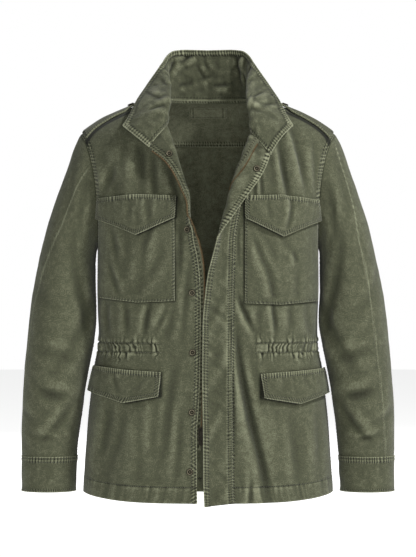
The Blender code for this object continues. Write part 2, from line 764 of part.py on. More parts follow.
def armhole_ring():
    """The armhole seam as seen from the sleeve, from the shoulder tip down the front and up the back."""
    halves = []
    for back in (False, True):
        levels = 0.5 + 0.5 * np.cos(np.linspace(0, np.pi, 400))
        x = between(levels, ARMHOLE["level"], ARMHOLE["x"])
        z = height(np.maximum(levels, 1e-9), x, back)
        shares = np.linspace(0, 1, SLEEVE_SIDES // 2 + 1)
        halves.append(sample(body_points(x, z, back), shares))
    ring = np.vstack([halves[0], halves[1][-2:0:-1]])
    ring[:, 0] += GAP
    return ring


def sleeve_ring(step, ring):
    """The sleeve's ring at a step of its table."""
    steps = np.arange(len(SLEEVE["depth"]))
    row = {name: float(between(step, steps, SLEEVE[name])) for name in SLEEVE}
    outer = np.array([row["outer_x"] + GAP, 0, row["outer_z"]])
    inner = np.array([row["inner_x"] + GAP, 0, row["inner_z"]])
    middle, half = (outer + inner) / 2, (outer - inner) / 2
    size = np.linalg.norm(half)
    along = half / size
    across = np.array([along[2], 0, -along[0]])
    start_outer = np.array([SLEEVE["outer_x"][0] + GAP, 0, SLEEVE["outer_z"][0]])
    start_inner = np.array([SLEEVE["inner_x"][0] + GAP, 0, SLEEVE["inner_z"][0]])
    first = (start_outer + start_inner) / 2
    start = np.linalg.norm(start_outer - start_inner) / 2
    up = (start_outer - start_inner) / 2 / start
    sideways = np.array([up[2], 0, -up[0]])
    turn = 2 * np.pi * np.arange(SLEEVE_SIDES) / SLEEVE_SIDES
    oval = row["oval"]
    a = (1 - oval) * ((ring - first) @ up) / start + oval * np.cos(turn)
    b = (1 - oval) * ((ring - first) @ sideways) / start
    c = (1 - oval) * ring[:, 1] / SLEEVE["depth"][0] - oval * np.sin(turn)
    points = middle + (a * size)[:, None] * along + (b * size)[:, None] * across
    points[:, 1] += c * row["depth"] - row["forward"]
    return points


def ring_normals(rings, k):
    """Outward directions of one ring in a stack of rings."""
    around = np.roll(rings[k], -1, 0) - np.roll(rings[k], 1, 0)
    along = rings[min(k + 1, len(rings) - 1)] - rings[max(k - 1, 0)]
    normals = np.cross(around, along)
    normals /= np.linalg.norm(normals, axis=1, keepdims=True)
    middle = rings[k].mean(0)
    return normals * np.sign((normals * (rings[k] - middle)).sum())


def sleeve_folds(turn, step):
    push = np.zeros(len(turn))
    for k in range(len(SLEEVE_FOLDS["push"])):
        start = np.array([SLEEVE_FOLDS["turn1"][k] / 60, SLEEVE_FOLDS["step1"][k]])
        end = np.array([SLEEVE_FOLDS["turn2"][k] / 60, SLEEVE_FOLDS["step2"][k]])
        along = end - start
        dx, dy = turn / 60 - start[0], step - start[1]
        share = np.clip((dx * along[0] + dy * along[1]) / (along @ along), 0, 1)
        away = np.hypot(dx - share * along[0], dy - share * along[1])
        push += SLEEVE_FOLDS["push"][k] * np.exp(-((away / SLEEVE_FOLDS["width"][k]) ** 2))
    return push


def sleeve(side, front_ends, back_ends):
    """A sleeve, whose first ring is the edge of the front, the back and the yoke, 0.3 mm away."""
    shell = Shell()
    ring = armhole_ring()
    steps = np.linspace(0, len(SLEEVE["depth"]) - 1, SLEEVE_ROWS)
    rings = [ring] + [sleeve_ring(step, ring) for step in steps[1:]]
    turn = 360 * np.arange(SLEEVE_SIDES) / SLEEVE_SIDES
    mirror = np.array([side, 1, 1])
    seam = front_ends[::-1] + back_ends
    points, normals = (np.array(column) for column in zip(*seam))
    run = lengths(points)
    half = len(front_ends) - 1
    keys = np.where(
        np.arange(len(run)) <= half,
        180 * run / run[half],
        180 + 180 * (run - run[half]) / (run[-1] - run[half]) - 1e-6,
    )
    own = ring_normals(rings, 0) * mirror
    turned = np.stack([np.interp(keys, np.append(turn, 360), np.append(own[:, k], own[0, k])) for k in range(3)], -1)
    share = np.clip((points[:, 2:3] + 245) / 40, 0, 1)
    normals = turned * (1 - share) + normals * share
    normals /= np.linalg.norm(normals, axis=1, keepdims=True)
    rows = [shell.row(points + [side * SEAM_SHIFT[0], 0, SEAM_SHIFT[1]], normals, keys)]
    for k, step in enumerate(steps[1:], 1):
        normals = ring_normals(rings, k)
        points = rings[k].copy()
        if k < len(steps) - 1:
            points += normals * sleeve_folds(turn, step)[:, None]
        rows.append(shell.row(points * mirror, normals * mirror, turn))
    shell.rings(rows, 360)
    return shell.object(side_name("sleeve", side), CLOTH, "cloth")


def cuff(side):
    shell = Shell()
    turn = 2 * np.pi * np.arange(SLEEVE_SIDES) / SLEEVE_SIDES
    rings = []
    for k in range(len(CUFF["z"])):
        middle = (CUFF["outer"][k] + CUFF["inner"][k]) / 2
        x = middle + (CUFF["outer"][k] - middle) * np.cos(turn)
        y = -CUFF["depth"][k] * np.sin(turn) - CUFF["forward"][k]
        rings.append(np.stack([x, y, np.full(len(turn), CUFF["z"][k])], -1))
    mirror = [side, 1, 1]
    rows = [shell.row(ring * mirror, ring_normals(rings, k) * mirror, turn) for k, ring in enumerate(rings)]
    shell.rings(rows, 2 * np.pi)
    return shell.object(side_name("cuff", side), DOUBLE_CLOTH, "cloth_edge")


def collar(yoke_neck, left_neck, right_neck):
    """The collar, whose first row is the neck edge of the yoke and the fronts, a little way off."""
    shell = Shell()
    seam = left_neck[::-1] + yoke_neck + right_neck
    points, directions = (np.array(column) for column in zip(*seam))
    middle = len(left_neck) + len(yoke_neck) // 2
    run = lengths(points)
    keys = np.where(run < run[middle], run / run[middle] - 1, (run - run[middle]) / (run[-1] - run[middle]))
    across = np.linspace(-1, 1, 2 * COLLAR_COLUMNS + 1)
    first = np.stack([np.interp(across, keys, points[:, k]) for k in range(3)], -1)
    bend, top = collar_line("mid", across), collar_line("top", across)
    t = (np.arange(1, COLLAR_ROWS) / (COLLAR_ROWS - 1))[:, None, None]
    grid = (1 - t) ** 2 * first + 2 * (1 - t) * t * bend + t**2 * top
    along, up = np.gradient(grid, axis=1), np.gradient(grid, axis=0)
    normals = np.cross(along, up)
    normals /= np.linalg.norm(normals, axis=2, keepdims=True)
    normals *= np.sign(normals[2, COLLAR_COLUMNS, 1])
    lift = collar_line("mid", keys) - points
    gap = np.interp(np.abs(keys), (0.5, 0.6), COLLAR_GAP)[:, None]
    points = points + lift / np.linalg.norm(lift, axis=1, keepdims=True) * gap
    rows = [shell.row(points, directions, keys)]
    shell.grid(rows + [shell.row(line, facing, across) for line, facing in zip(grid, normals)])
    return shell.object("collar", COLLAR_WALL, "cloth")


def collar_line(part, keys):
    """Points of the collar's bend or top edge, from its left end (-1) to its right end (1)."""
    line = np.stack([between(np.abs(keys), COLLAR["at"], COLLAR[f"{part}_{axis}"]) for axis in "xyz"], -1)
    line[:, 0] *= -np.sign(keys)
    return line


def patch(name, side, outline, columns, rows, rise, wall, finish):
    """A pocket or flap that lies on a front: its outline by share of the width, and its rise there."""
    shell = Shell()
    u = np.linspace(0, 1, columns + 1)
    side_x, lean = between(u, outline["share"], outline["x"]), between(u, outline["share"], outline["lean"])
    corner = np.interp(u, outline["share"], outline["bottom"])
    indices = []
    for v in np.linspace(0, 1, rows + 1):
        z = np.interp(u, outline["share"], outline["top"]) * (1 - v) + corner * v
        half = between(z, BODY["z"], BODY["half"])
        near = np.minimum(side_x + lean * v, half - 0.4)
        points = body_points(near, z)
        normals = body_normals(near, z)
        mirror = [side, 1, 1]
        points, normals = points * mirror, normals * mirror
        out = LAID_GAP + SIDE_GAP * (near / half) ** 6
        out += rise(u, v, np.interp(u, outline["share"], outline["top"]) - z)
        points = points + normals * (out + fold_raise(points))[:, None]
        indices.append(shell.row(points, normals, u))
    shell.grid(indices)
    return shell.object(side_name(name, side), wall, finish, inside_first=True)


def crown(u):
    return np.sqrt(np.clip(4 * u * (1 - u), 0, 1))


def pocket_rise(u, v, drop):
    return POCKET_FULLNESS * crown(u) * np.sin(np.pi * v) ** 0.7


def chest_flap_rise(u, v, drop):
    return CHEST_FLAP_RISE * (1 - np.exp(-drop / 18)) * (0.55 + 0.45 * crown(u))


def hip_flap_rise(u, v, drop):
    return HIP_FLAP_RISE * (1 - np.exp(-drop / 20)) + 1.5 * u**4


def shoulder_top(x, y):
    """Height of the cloth over the shoulder at x and y, and its upward direction."""

    def z_at(x, y):
        full = BODY["back"][-1] if y > 0 else BODY["front"][-1]
        z = shoulder_z(x)
        for _ in range(4):
            half = between(z, BODY["z"], BODY["half"])
            wide = (1 - np.minimum(x / half, 0.995) ** SIDE_ROUND) ** (1 / SIDE_ROUND)
            rise = (1 - np.clip(abs(y) / (full * wide), 0, 1) ** SHOULDER_ROUND) ** (1 / SHOULDER_ROUND)
            z = ARMPIT_Z + rise * (shoulder_z(x) - ARMPIT_Z)
        return float(z)

    z = z_at(x, y)
    normal = np.array([z_at(x - 1, y) - z_at(x + 1, y), z_at(x, y - 1) - z_at(x, y + 1), 2.0])
    return np.array([x, y, z]), normal / np.linalg.norm(normal)


def epaulette_point(side, share, across):
    """A point on the underside of an epaulette, and its upward direction."""
    row = {name: float(np.interp(share, EPAULETTE["share"], EPAULETTE[name])) for name in EPAULETTE}
    x = row["front_x"] + (row["back_x"] - row["front_x"]) * across
    point, normal = shoulder_top(x, row["front_y"] + (row["back_y"] - row["front_y"]) * across)
    mirror = np.array([side, 1, 1])
    return (point + normal * row["lift"]) * mirror, normal * mirror


def epaulette(side):
    shell = Shell()
    rows = []
    places = np.linspace(0, 1, EPAULETTE_COLUMNS + 1)
    for share in EPAULETTE_ROWS:
        found = [epaulette_point(side, share, across) for across in places]
        points, normals = (np.array(column) for column in zip(*found))
        rows.append(shell.row(points, normals, places))
    shell.grid(rows)
    return shell.object(side_name("epaulette", side), EPAULETTE_WALL, "cloth_edge", inside_first=True)


def neck_label():
    shell = Shell()
    rows = []
    for z in np.linspace(LABEL_TOP_Z, LABEL_BOTTOM_Z, 3):
        x = np.linspace(-LABEL_HALF_WIDTH, LABEL_HALF_WIDTH, 9)
        points = body_points(x, np.full(9, z), True)
        normals = body_normals(x, np.full(9, z), True)
        rows.append(shell.row(points - normals * (CLOTH + LAID_GAP), normals, x))
    shell.grid(rows)
    return shell.object("neck_label", LABEL_WALL, "cloth_edge")


def edge_point(side, level, distance):
    """The front's outer face at a distance from its free edge, and its outward direction there."""
    low, high = (-1.0, 0.0) if level <= 0 else (1e-6, neck_level(side))

    def whole(at):
        return np.vstack([main_line(side, at), lapel_line(side, at)[1:]])

    length = lengths(lapel_line(side, level))[-1]
    line = whole(level)
    run = lengths(line)
    share = min((run[-1] - distance) / run[-1], 1.0)
    point, normal = surface(whole, level, np.array([share]), low, high)
    main_share = (run[-1] - length - CLEAR_OF_ROLL) / run[-1]
    reference = surface(whole, level, np.array([main_share]), low, high)[1][0]
    point = point + normal * np.sign(-reference[1]) * fold_raise(point)
    if distance < 0:
        outward = (line[-1] - line[-4]) / np.linalg.norm(line[-1] - line[-4])
        point = point - outward * distance
    return point[0], normal[0] * np.sign(-reference[1])


def zip_tape(side, from_edge, wall):
    """A zip tape on the inside of a front, between distances from its free edge."""
    shell = Shell()
    rows = []
    for level in tape_levels(side):
        first, last = from_edge(float(height(level, 30.0)))
        distances = np.linspace(last, first, TAPE_COLUMNS + 1)
        found = [edge_point(side, level, distance) for distance in distances]
        points, normals = (np.array(column) for column in zip(*found))
        rows.append(shell.row(points - normals * (wall + TAPE_GAP), normals, range(len(distances))))
    shell.grid(rows)
    return shell.object(side_name("zip_tape", side), TAPE_WALL, "zip_tape")


def tape_levels(side):
    """The front's own levels between the ends of the zip tape, and one between each two where it is turned."""
    start = float(level_of(TAPE_END_Z, 0.0))
    plain = [z for z in LOWER_ROWS["z"] if z > TAPE_END_Z + TAPE_FIRST_ROW and z not in TAPE_SKIPS_Z]
    upper = [level for level in front_levels(side) if level > TAPE_UPPER_LEVEL]
    between_them = [(low + high) / 2 for low, high in zip(upper, upper[1:])]
    return [start] + list(level_of(np.array(plain), 0.0)) + sorted(upper[:-1] + between_them)


def right_tape_range(z):
    return -float(between(z, RIGHT_TAPE_OUT["z"], RIGHT_TAPE_OUT["out"])), RIGHT_TAPE_UNDER


def left_tape_range(_):
    return LEFT_TAPE_FROM_EDGE


def place(obj, point, normal):
    """Sets an object's Z axis along a direction, at a point given in millimetres."""
    turn = Vector(normal).to_track_quat("Z", "Y").to_matrix().to_4x4()
    obj.matrix_world = Matrix.Translation(Vector(point) * 0.001) @ turn


def snap_mesh(name):
    """A snap socket: a turned ring with a sunken centre."""
    r, h = SNAP_RADIUS, SNAP_HEIGHT
    profile = ((0, h * 0.45), (r * 0.42, h * 0.45), (r * 0.5, h), (r * 0.8, h), (r, 0), (0, 0))
    mesh = bpy.data.meshes.new(name)
    work = bmesh.new()
    verts = [work.verts.new((x * 0.001, 0, z * 0.001)) for x, z in profile]
    edges = [work.edges.new(pair) for pair in zip(verts, verts[1:])]
    bmesh.ops.spin(
        work, geom=verts + edges, cent=(0, 0, 0), axis=(0, 0, 1), angle=2 * np.pi, steps=10, use_duplicate=False
    )
    bmesh.ops.remove_doubles(work, verts=work.verts, dist=0.00002)
    bmesh.ops.recalc_face_normals(work, faces=work.faces)
    work.to_mesh(mesh)
    work.free()
    return mesh


def snap(name, point, normal):
    obj = add_object(name, snap_mesh(name), "brass")
    place(obj, point, normal)
    return obj


def edge_zone_point(side, x, z, inside):
    """The point near the free edge of a front that shows at x and z, and the direction it faces."""
    best = None
    for level in np.linspace(float(level_of(z, x)) - 0.02, neck_level(side), 60):
        low, high = (-1.0, 0.0) if level <= 0 else (1e-6, neck_level(side))
        for line_at in (lambda at: main_line(side, at), lambda at: lapel_line(side, at))[inside:]:
            line = line_at(level)
            away = np.hypot(line[:, 0] - side * x, line[:, 2] - z)
            k = int(away.argmin())
            if best is None or away[k] < best[0]:
                share = lengths(line)[k] / lengths(line)[-1]
                best = (away[k], line_at, level, share, low, high)
        if not inside and level > level_of(z, x) + 0.02:
            break
    _, line_at, level, share, low, high = best
    point, normal = surface(line_at, level, np.array([share]), low, high)
    return point[0], normal[0] * -np.sign(normal[0, 1])


def snaps():
    for k, (x, z) in enumerate(zip(FRONT_SNAPS["x"], FRONT_SNAPS["z"])):
        point, normal = edge_zone_point(-1, -x, z, False)
        off = LAID_GAP + (ROLLED_SNAP_GAP if k == 0 else 0)
        snap(f"front_snap_{k + 1}", point + normal * off, normal)
    for side, wall in ((-1, CLOTH), (1, DOUBLE_CLOTH)):
        point, normal = edge_zone_point(side, *LAPEL_SNAPS[side], True)
        name = "fly_snap_left" if side == 1 else "lapel_snap_right"
        snap(name, point + normal * (wall + LAID_GAP), normal)
    for side in (1, -1):
        point, normal = epaulette_point(side, EPAULETTE_SNAP_SHARE, 0.5)
        snap(side_name("epaulette_snap", side), point + normal * (EPAULETTE_WALL + LAID_GAP), normal)


def block(name, low, high):
    """A box between two corners in millimetres."""
    bpy.ops.mesh.primitive_cube_add(size=1)
    obj = bpy.context.object
    obj.name = name
    middle, size = (np.array(low) + high) / 2, np.array(high) - low
    obj.data.transform(Matrix.Translation(middle * 0.001) @ Matrix.Diagonal([*(size * 0.001), 1]))
    for collection in list(obj.users_collection):
        collection.objects.unlink(obj)
    return obj


def united(name, pieces, finish):
    """Pieces that overlap, joined into one body by Boolean unions."""
    first = pieces[0]
    PARTS.objects.link(first)
    for other in pieces[1:]:
        CUTTERS.objects.link(other)
        other.hide_render = True
        other.display_type = "WIRE"
        union = first.modifiers.new("join", "BOOLEAN")
        union.operation = "UNION"
        union.object = other
    first.name = name
    first.data.materials.append(FINISHES[finish])
    return first


def tape_plane(z):
    """The middle of the right zip tape's thickness at its free edge."""
    out = right_tape_range(z)[0]
    point, normal = edge_point(-1, float(level_of(z, 15.0)), out)
    return (point - normal * (CLOTH + TAPE_GAP + TAPE_WALL / 2))[1]


def clamp(name, width, top, bottom, extra=()):
    """Two plates over the zip's edge with a neck between them, as slider and box are."""
    y = tape_plane((top + bottom) / 2)
    half = SLIDER_SLOT / 2
    left, right = TEETH_X - width / 2, TEETH_X + width / 2
    front = block("front", (left, y - half - SLIDER_PLATE, bottom), (right, y - half, top))
    rear = block("rear", (left, y + half, bottom), (right, y + half + SLIDER_PLATE, top))
    near, far, tall = SLIDER_NECK
    neck_low = (TEETH_X + near, y - half - SLIDER_PLATE / 2, top - tall)
    neck = block("neck", neck_low, (TEETH_X + far, y + half + SLIDER_PLATE / 2, top - 0.5))
    return united(name, [front, neck, rear, *extra], "brass")


def cylinder_x(name, x, y, z, radius, length):
    bpy.ops.mesh.primitive_cylinder_add(vertices=12, radius=radius * 0.001, depth=length * 0.001)
    obj = bpy.context.object
    obj.name = name
    obj.data.transform(Matrix.Translation(Vector((x, y, z)) * 0.001) @ Matrix.Rotation(np.pi / 2, 4, "Y"))
    for collection in list(obj.users_collection):
        collection.objects.unlink(obj)
    return obj


def zip_hardware():
    front = tape_plane((SLIDER_TOP_Z + SLIDER_BOTTOM_Z) / 2) - SLIDER_SLOT / 2 - SLIDER_PLATE
    axis_y = front - PULL_AXIS_OUT
    inside = PULL_WIDTH / 2 + GAP
    lugs = [
        block(f"lug_{k}", (x, front - LUG_REACH, PULL_AXIS_Z - 1.6), (x + LUG_WIDTH, front + 0.6, PULL_AXIS_Z + 1.6))
        for k, x in enumerate((TEETH_X - inside - LUG_WIDTH, TEETH_X + inside))
    ]
    clamp("zip_slider", SLIDER_WIDTH, SLIDER_TOP_Z, SLIDER_BOTTOM_Z, lugs)
    clamp("zip_box", BOX_WIDTH, BOX_TOP_Z, BOX_BOTTOM_Z)
    barrel = cylinder_x("barrel", TEETH_X, axis_y, PULL_AXIS_Z, PULL_THICK * 0.85, PULL_WIDTH)
    half = PULL_THICK / 2
    low = (TEETH_X - PULL_WIDTH / 2, axis_y - half, PULL_AXIS_Z - PULL_LENGTH)
    tab = block("tab", low, (TEETH_X + PULL_WIDTH / 2, axis_y + half, PULL_AXIS_Z))
    pull = united("zip_pull", [tab, barrel], "brass")
    hole_low = (TEETH_X - PULL_HOLE[0] / 2, axis_y - 3, low[2] + 1.2)
    hole = block("hole", hole_low, (TEETH_X + PULL_HOLE[0] / 2, axis_y + 3, low[2] + 1.2 + PULL_HOLE[1]))
    CUTTERS.objects.link(hole)
    hole.hide_render = True
    hole.display_type = "WIRE"
    cut = pull.modifiers.new("hole", "BOOLEAN")
    cut.object = hole


def zip_pin():
    """The pin at the foot of the left tape, beside the tape's inner edge."""
    distance = LEFT_TAPE_FROM_EDGE[0] - PIN_SIZE[0] / 2 - GAP
    ends = []
    for z in (TAPE_END_Z + 2, TAPE_END_Z + 2 + PIN_SIZE[2]):
        point, normal = edge_point(1, float(level_of(z, 20.0)), distance)
        ends.append(point - normal * (DOUBLE_CLOTH + TAPE_GAP + PIN_SIZE[1] / 2))
    pin = block("zip_pin", -np.array(PIN_SIZE) / 2, np.array(PIN_SIZE) / 2)
    PARTS.objects.link(pin)
    place(pin, (ends[0] + ends[1]) / 2, ends[1] - ends[0])
    pin.data.materials.append(FINISHES["brass"])


PARTS = bpy.data.collections.new("field_jacket")
CUTTERS = bpy.data.collections.new("cutters")
FINISHES = {}


def main():
    for obj in list(bpy.data.objects):
        bpy.data.objects.remove(obj)
    for collection in (PARTS, CUTTERS):
        bpy.context.scene.collection.children.link(collection)
    FINISHES.update({name: make_finish(name, *look) for name, look in COLOURS.items()})
    back_ends = back_panel()
    yoke_ends, yoke_neck = yoke_panel()
    back_ends += yoke_ends
    necks = {}
    neck_label()
    for side in (1, -1):
        mirrored_back = [(point * [side, 1, 1], normal * [side, 1, 1]) for point, normal in back_ends]
        front_ends, necks[side] = front_panel(side)
        sleeve(side, front_ends, mirrored_back)
        cuff(side)
        epaulette(side)
        patch("chest_pocket", side, CHEST_POCKET[side], 10, 8, pocket_rise, CLOTH, "cloth")
        patch("chest_flap", side, CHEST_FLAP[side], 12, 4, chest_flap_rise, DOUBLE_CLOTH, "cloth_edge")
        patch("hip_flap", side, HIP_FLAP[side], 12, 3, hip_flap_rise, DOUBLE_CLOTH, "cloth_edge")
    collar(yoke_neck, necks[1] + fly_strip(), necks[-1])
    zip_tape(-1, right_tape_range, CLOTH)
    zip_tape(1, left_tape_range, DOUBLE_CLOTH)
    zip_hardware()
    zip_pin()
    snaps()


main()
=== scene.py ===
"""The field jacket's looks: its cloth, sewing and metal, in the same frame as its solids."""

import bpy
import numpy as np
from mathutils import Matrix, Vector


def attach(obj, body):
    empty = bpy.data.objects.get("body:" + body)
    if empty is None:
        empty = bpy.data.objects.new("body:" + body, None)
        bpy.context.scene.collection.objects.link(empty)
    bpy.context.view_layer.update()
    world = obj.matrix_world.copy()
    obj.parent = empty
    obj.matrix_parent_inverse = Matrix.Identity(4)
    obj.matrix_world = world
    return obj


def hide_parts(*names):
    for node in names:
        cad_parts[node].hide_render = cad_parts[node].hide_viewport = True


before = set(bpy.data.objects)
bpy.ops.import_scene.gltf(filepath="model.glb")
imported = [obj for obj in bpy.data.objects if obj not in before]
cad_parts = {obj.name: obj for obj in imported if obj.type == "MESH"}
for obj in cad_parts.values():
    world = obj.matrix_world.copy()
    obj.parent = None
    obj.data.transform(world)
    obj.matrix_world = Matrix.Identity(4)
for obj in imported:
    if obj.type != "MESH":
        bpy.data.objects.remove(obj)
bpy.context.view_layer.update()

# The picture: the jacket floats above a pale floor in a white room, lit by large soft lamps.
# The camera looks level from the front, through a long lens.
bpy.ops.object.select_all(action="DESELECT")
bpy.ops.mesh.primitive_circle_add(vertices=64, radius=9, fill_type="NGON", location=(0, 0, -0.9))
floor = bpy.context.object
floor.name = "floor"
paper = bpy.data.materials.new("pale_paper")
paper.use_nodes = True
for socket, value in (
    ("Base Color", (0.93, 0.93, 0.93, 1)),
    ("Roughness", 0.9),
    ("Emission Color", (1, 1, 1, 1)),
    ("Emission Strength", 0.75),
):
    paper.node_tree.nodes["Principled BSDF"].inputs[socket].default_value = value
floor.data.materials.append(paper)

room = bpy.data.worlds.new("white_room")
room.use_nodes = True
links, seen = room.node_tree.links, room.node_tree.nodes["Background"]
dim = room.node_tree.nodes.new("ShaderNodeBackground")
for wall, colour, strength in ((seen, (1, 1, 1, 1), 1.0), (dim, (0.98, 1, 0.98, 1), 0.12)):
    wall.inputs["Color"].default_value = colour
    wall.inputs["Strength"].default_value = strength
ray = room.node_tree.nodes.new("ShaderNodeLightPath")
either = room.node_tree.nodes.new("ShaderNodeMixShader")
links.new(ray.outputs["Is Camera Ray"], either.inputs[0])
links.new(dim.outputs[0], either.inputs[1])
links.new(seen.outputs[0], either.inputs[2])
links.new(either.outputs[0], room.node_tree.nodes["World Output"].inputs["Surface"])
bpy.context.scene.world = room

JACKET_MIDDLE = Vector((0, 0, -0.35))
for lamp, place, size, power in (
    ("key_lamp", (2.1, -1.45, 2.3), 0.4, 136),
    ("front_lamp", (0.1, -3.5, 0.2), 0.8, 19),
    ("side_lamp", (-2.2, -1.2, 0.6), 0.8, 8),
    ("back_lamp", (-0.8, 3.4, 0.5), 1.0, 26),
):
    bpy.ops.object.light_add(type="AREA", location=place)
    light = bpy.context.object
    light.name = lamp
    light.data.size = size
    light.data.energy = power
    light.rotation_euler = (JACKET_MIDDLE - Vector(place)).to_track_quat("-Z", "Y").to_euler()

CAMERA_DISTANCE, CAMERA_HEIGHT, LENS = 3.7, -0.3265, 129.3
bpy.ops.object.camera_add(location=(0, -CAMERA_DISTANCE, CAMERA_HEIGHT), rotation=(np.pi / 2, 0, 0))
camera = bpy.context.object
camera.data.lens = LENS
camera.data.sensor_width = 36
camera.data.clip_end = 60
bpy.context.scene.camera = camera
bpy.context.scene.view_settings.view_transform = "Standard"


# The back: one panel of washed olive cotton, from the hem to the yoke, gathered by two rows of elastic
# at the waist. Its hem is turned up inside and stitched; its sides are sewn to the fronts.
# Sizes are in millimetres here and below, until a mesh is made.


def table(columns, *rows):
    """A short table, as a dict with an array for each named column."""
    return dict(zip(columns.split(), np.array(rows, float).T))


def folds(*rows):
    """A table of folds. A negative push is a trough."""
    return table("x1 z1 x2 z2 push width", *rows)


SIDES = (("left", 1), ("right", -1))
CLOTH = 1.6
SEAM_GAP = 0.3
MM = 0.001
ARMPIT_Z = -270.0
HEM_FRONT_Z, HEM_BACK_Z = -729.0, -735.0
HEM_SIDE_RISE = {False: 12.0, True: 18.0}
YOKE_Z = -76.0
BODY = table(
    "z half front back",
    (-745, 232, 129, 135), (-713, 230, 128, 134), (-656, 226, 127, 133), (-585, 221, 125, 131),
    (-539, 216, 122, 128), (-489, 210, 117, 121), (-443, 201.5, 112, 115), (-400, 202, 115, 118),
    (-340, 204, 121, 125), (-270, 203.5, 126, 131), (-230, 206, 128, 133), (-200, 211, 128, 134),
    (-170, 216, 128, 135), (-140, 224, 128, 136), (-110, 234, 128, 137), (-80, 250, 128, 138),
    (-50, 270, 128, 138), (60, 320, 128, 138),
)
SIDE_ROUND, SHOULDER_ROUND = 2.5, 2.2
SHOULDER = table(
    "x z", (0, 45), (50, 29), (88, 6), (134, -8), (192, -33), (214, -46), (236, -62), (262, -86)
)
ARMHOLE = table(
    "level x",
    (0, 203.5), (0.1, 200.5), (0.25, 200), (0.4, 202.5), (0.55, 206),
    (0.7, 212), (0.8, 217.5), (0.9, 225), (0.96, 231), (1, 236),
)
SHOULDER_TIP_X = 236.0
ELASTIC_ROWS = (-443.0, -459.5)
GATHER_PITCH = 9.0
GATHER_DEEP = 2.7
BACK_FOLDS = folds(
    (-150, -120, -95, -260, -4, 16),
    (150, -120, 100, -250, -4, 15),
    (-60, -500, -85, -700, -6, 15),
    (70, -500, 92, -690, -5, 16),
    (5, -520, -8, -700, -3, 14),
    (-150, -300, -120, -400, -4, 14),
    (145, -310, 120, -405, -4, 14),
)
BACK_CREASES = folds(
    (-175, -150, -120, -225, -1.6, 7),
    (-140, -210, -70, -300, -1.3, 8),
    (178, -140, 125, -215, -1.7, 7),
    (120, -240, 75, -330, -1.2, 8),
    (-20, -110, -26, -230, -1, 9),
    (34, -100, 40, -210, 0.9, 10),
    (-100, -395, -118, -430, -1.5, 6),
    (30, -385, 24, -430, -1.3, 6),
    (118, -390, 128, -430, -1.5, 6),
    (-130, -480, -150, -620, -1.6, 8),
    (20, -480, 30, -590, -1.4, 8),
    (140, -480, 160, -600, -1.5, 8),
)


def between(at, places, values):
    """Values between a table's rows, on a smooth curve that doesn't overshoot them."""
    step = np.diff(places)
    slope = np.diff(values) / step
    product = slope[:-1] * slope[1:]
    total = slope[:-1] + slope[1:]
    inner = np.where(product > 0, 2 * product / np.where(total == 0, 1, total), 0)
    tangent = np.concatenate([slope[:1], inner, slope[-1:]])
    at = np.clip(at, places[0], places[-1])
    k = np.clip(np.searchsorted(places, at, side="right") - 1, 0, len(step) - 1)
    t = (at - places[k]) / step[k]
    start = (2 * t**3 - 3 * t**2 + 1) * values[k] + (t**3 - 2 * t**2 + t) * step[k] * tangent[k]
    end = (3 * t**2 - 2 * t**3) * values[k + 1] + (t**3 - t**2) * step[k] * tangent[k + 1]
    return start + end


def row_between(rows, key, at):
    """A table's row at a place between its own, as a dict of numbers."""
    return {name: float(between(at, rows[key], rows[name])) for name in rows}


def smooth(at, low, high):
    """A soft step from 0 at low to 1 at high."""
    t = np.clip((at - low) / (high - low), 0, 1)
    return t * t * (3 - 2 * t)


def hump(at, middle, width):
    """A smooth hump, 1 at the middle and almost 0 two widths away."""
    return np.exp(-(((at - middle) / width) ** 2))


def shoulder_z(x):
    return between(np.abs(x), SHOULDER["x"], SHOULDER["z"])


def hem_z(x, back):
    low = HEM_BACK_Z if back else HEM_FRONT_Z
    return low + HEM_SIDE_RISE[back] * np.clip(np.abs(x) / 230, 0, 1) ** 4


def height(level, x, back=False):
    """Height of a level at x: -1 is the hem, 0 the armpits and 1 the shoulder line."""
    below = ARMPIT_Z + level * (ARMPIT_Z - hem_z(x, back))
    above = ARMPIT_Z + level * (shoulder_z(x) - ARMPIT_Z)
    return np.where(np.asarray(level) < 0, below, above)


def level_of(z, x, back=False):
    below = (z - ARMPIT_Z) / (ARMPIT_Z - hem_z(x, back))
    above = (z - ARMPIT_Z) / (shoulder_z(x) - ARMPIT_Z)
    return np.where(np.asarray(z) < ARMPIT_Z, below, above)


def depth(x, z, back=False):
    """How far the body's cloth stands from the middle plane at x and z."""
    half = between(z, BODY["z"], BODY["half"])
    full = between(z, BODY["z"], BODY["back" if back else "front"])
    rise = np.clip((z - ARMPIT_Z) / (shoulder_z(x) - ARMPIT_Z), 0, 1)
    wide = np.clip(np.abs(x) / half, 0, 1)
    over_shoulder = (1 - rise**SHOULDER_ROUND) ** (1 / SHOULDER_ROUND)
    return full * over_shoulder * (1 - wide**SIDE_ROUND) ** (1 / SIDE_ROUND)


def body_points(x, z, back=False):
    y = depth(x, z, back) * (1 if back else -1)
    return np.stack([x, y, z + 0 * x], -1)


def lengths(line):
    return np.concatenate([[0], np.cumsum(np.linalg.norm(np.diff(line, axis=0), axis=1))])


def read_at(line, run, where):
    """What a dense line's columns are at given places along it."""
    return np.stack([np.interp(where, run, column) for column in line.T], -1)


def sample(line, shares):
    """Points of a dense line at shares of its length."""
    run = lengths(line)
    return read_at(line, run, np.asarray(shares) * run[-1])


LINE_POINTS = 240


def both_halves(half):
    """A row from the wearer's left to right, from its left half."""
    return np.vstack([half, half[-2::-1] * [-1, 1, 1]])


def outer_end(level, back=False):
    """Where a row of a body panel ends: the side seam below the armpits, and the armhole above them."""
    if level > 0:
        return float(between(level, ARMHOLE["level"], ARMHOLE["x"]))
    return float(between(height(level, 230.0, back), BODY["z"], BODY["half"]))


def armhole_x(z, back):
    """Where a row at one height ends at the armhole."""
    x = SHOULDER_TIP_X
    for _ in range(12):
        x = 0.5 * x + 0.5 * outer_end(float(np.clip(level_of(z, x, back), 1e-6, 1)), back)
    return x


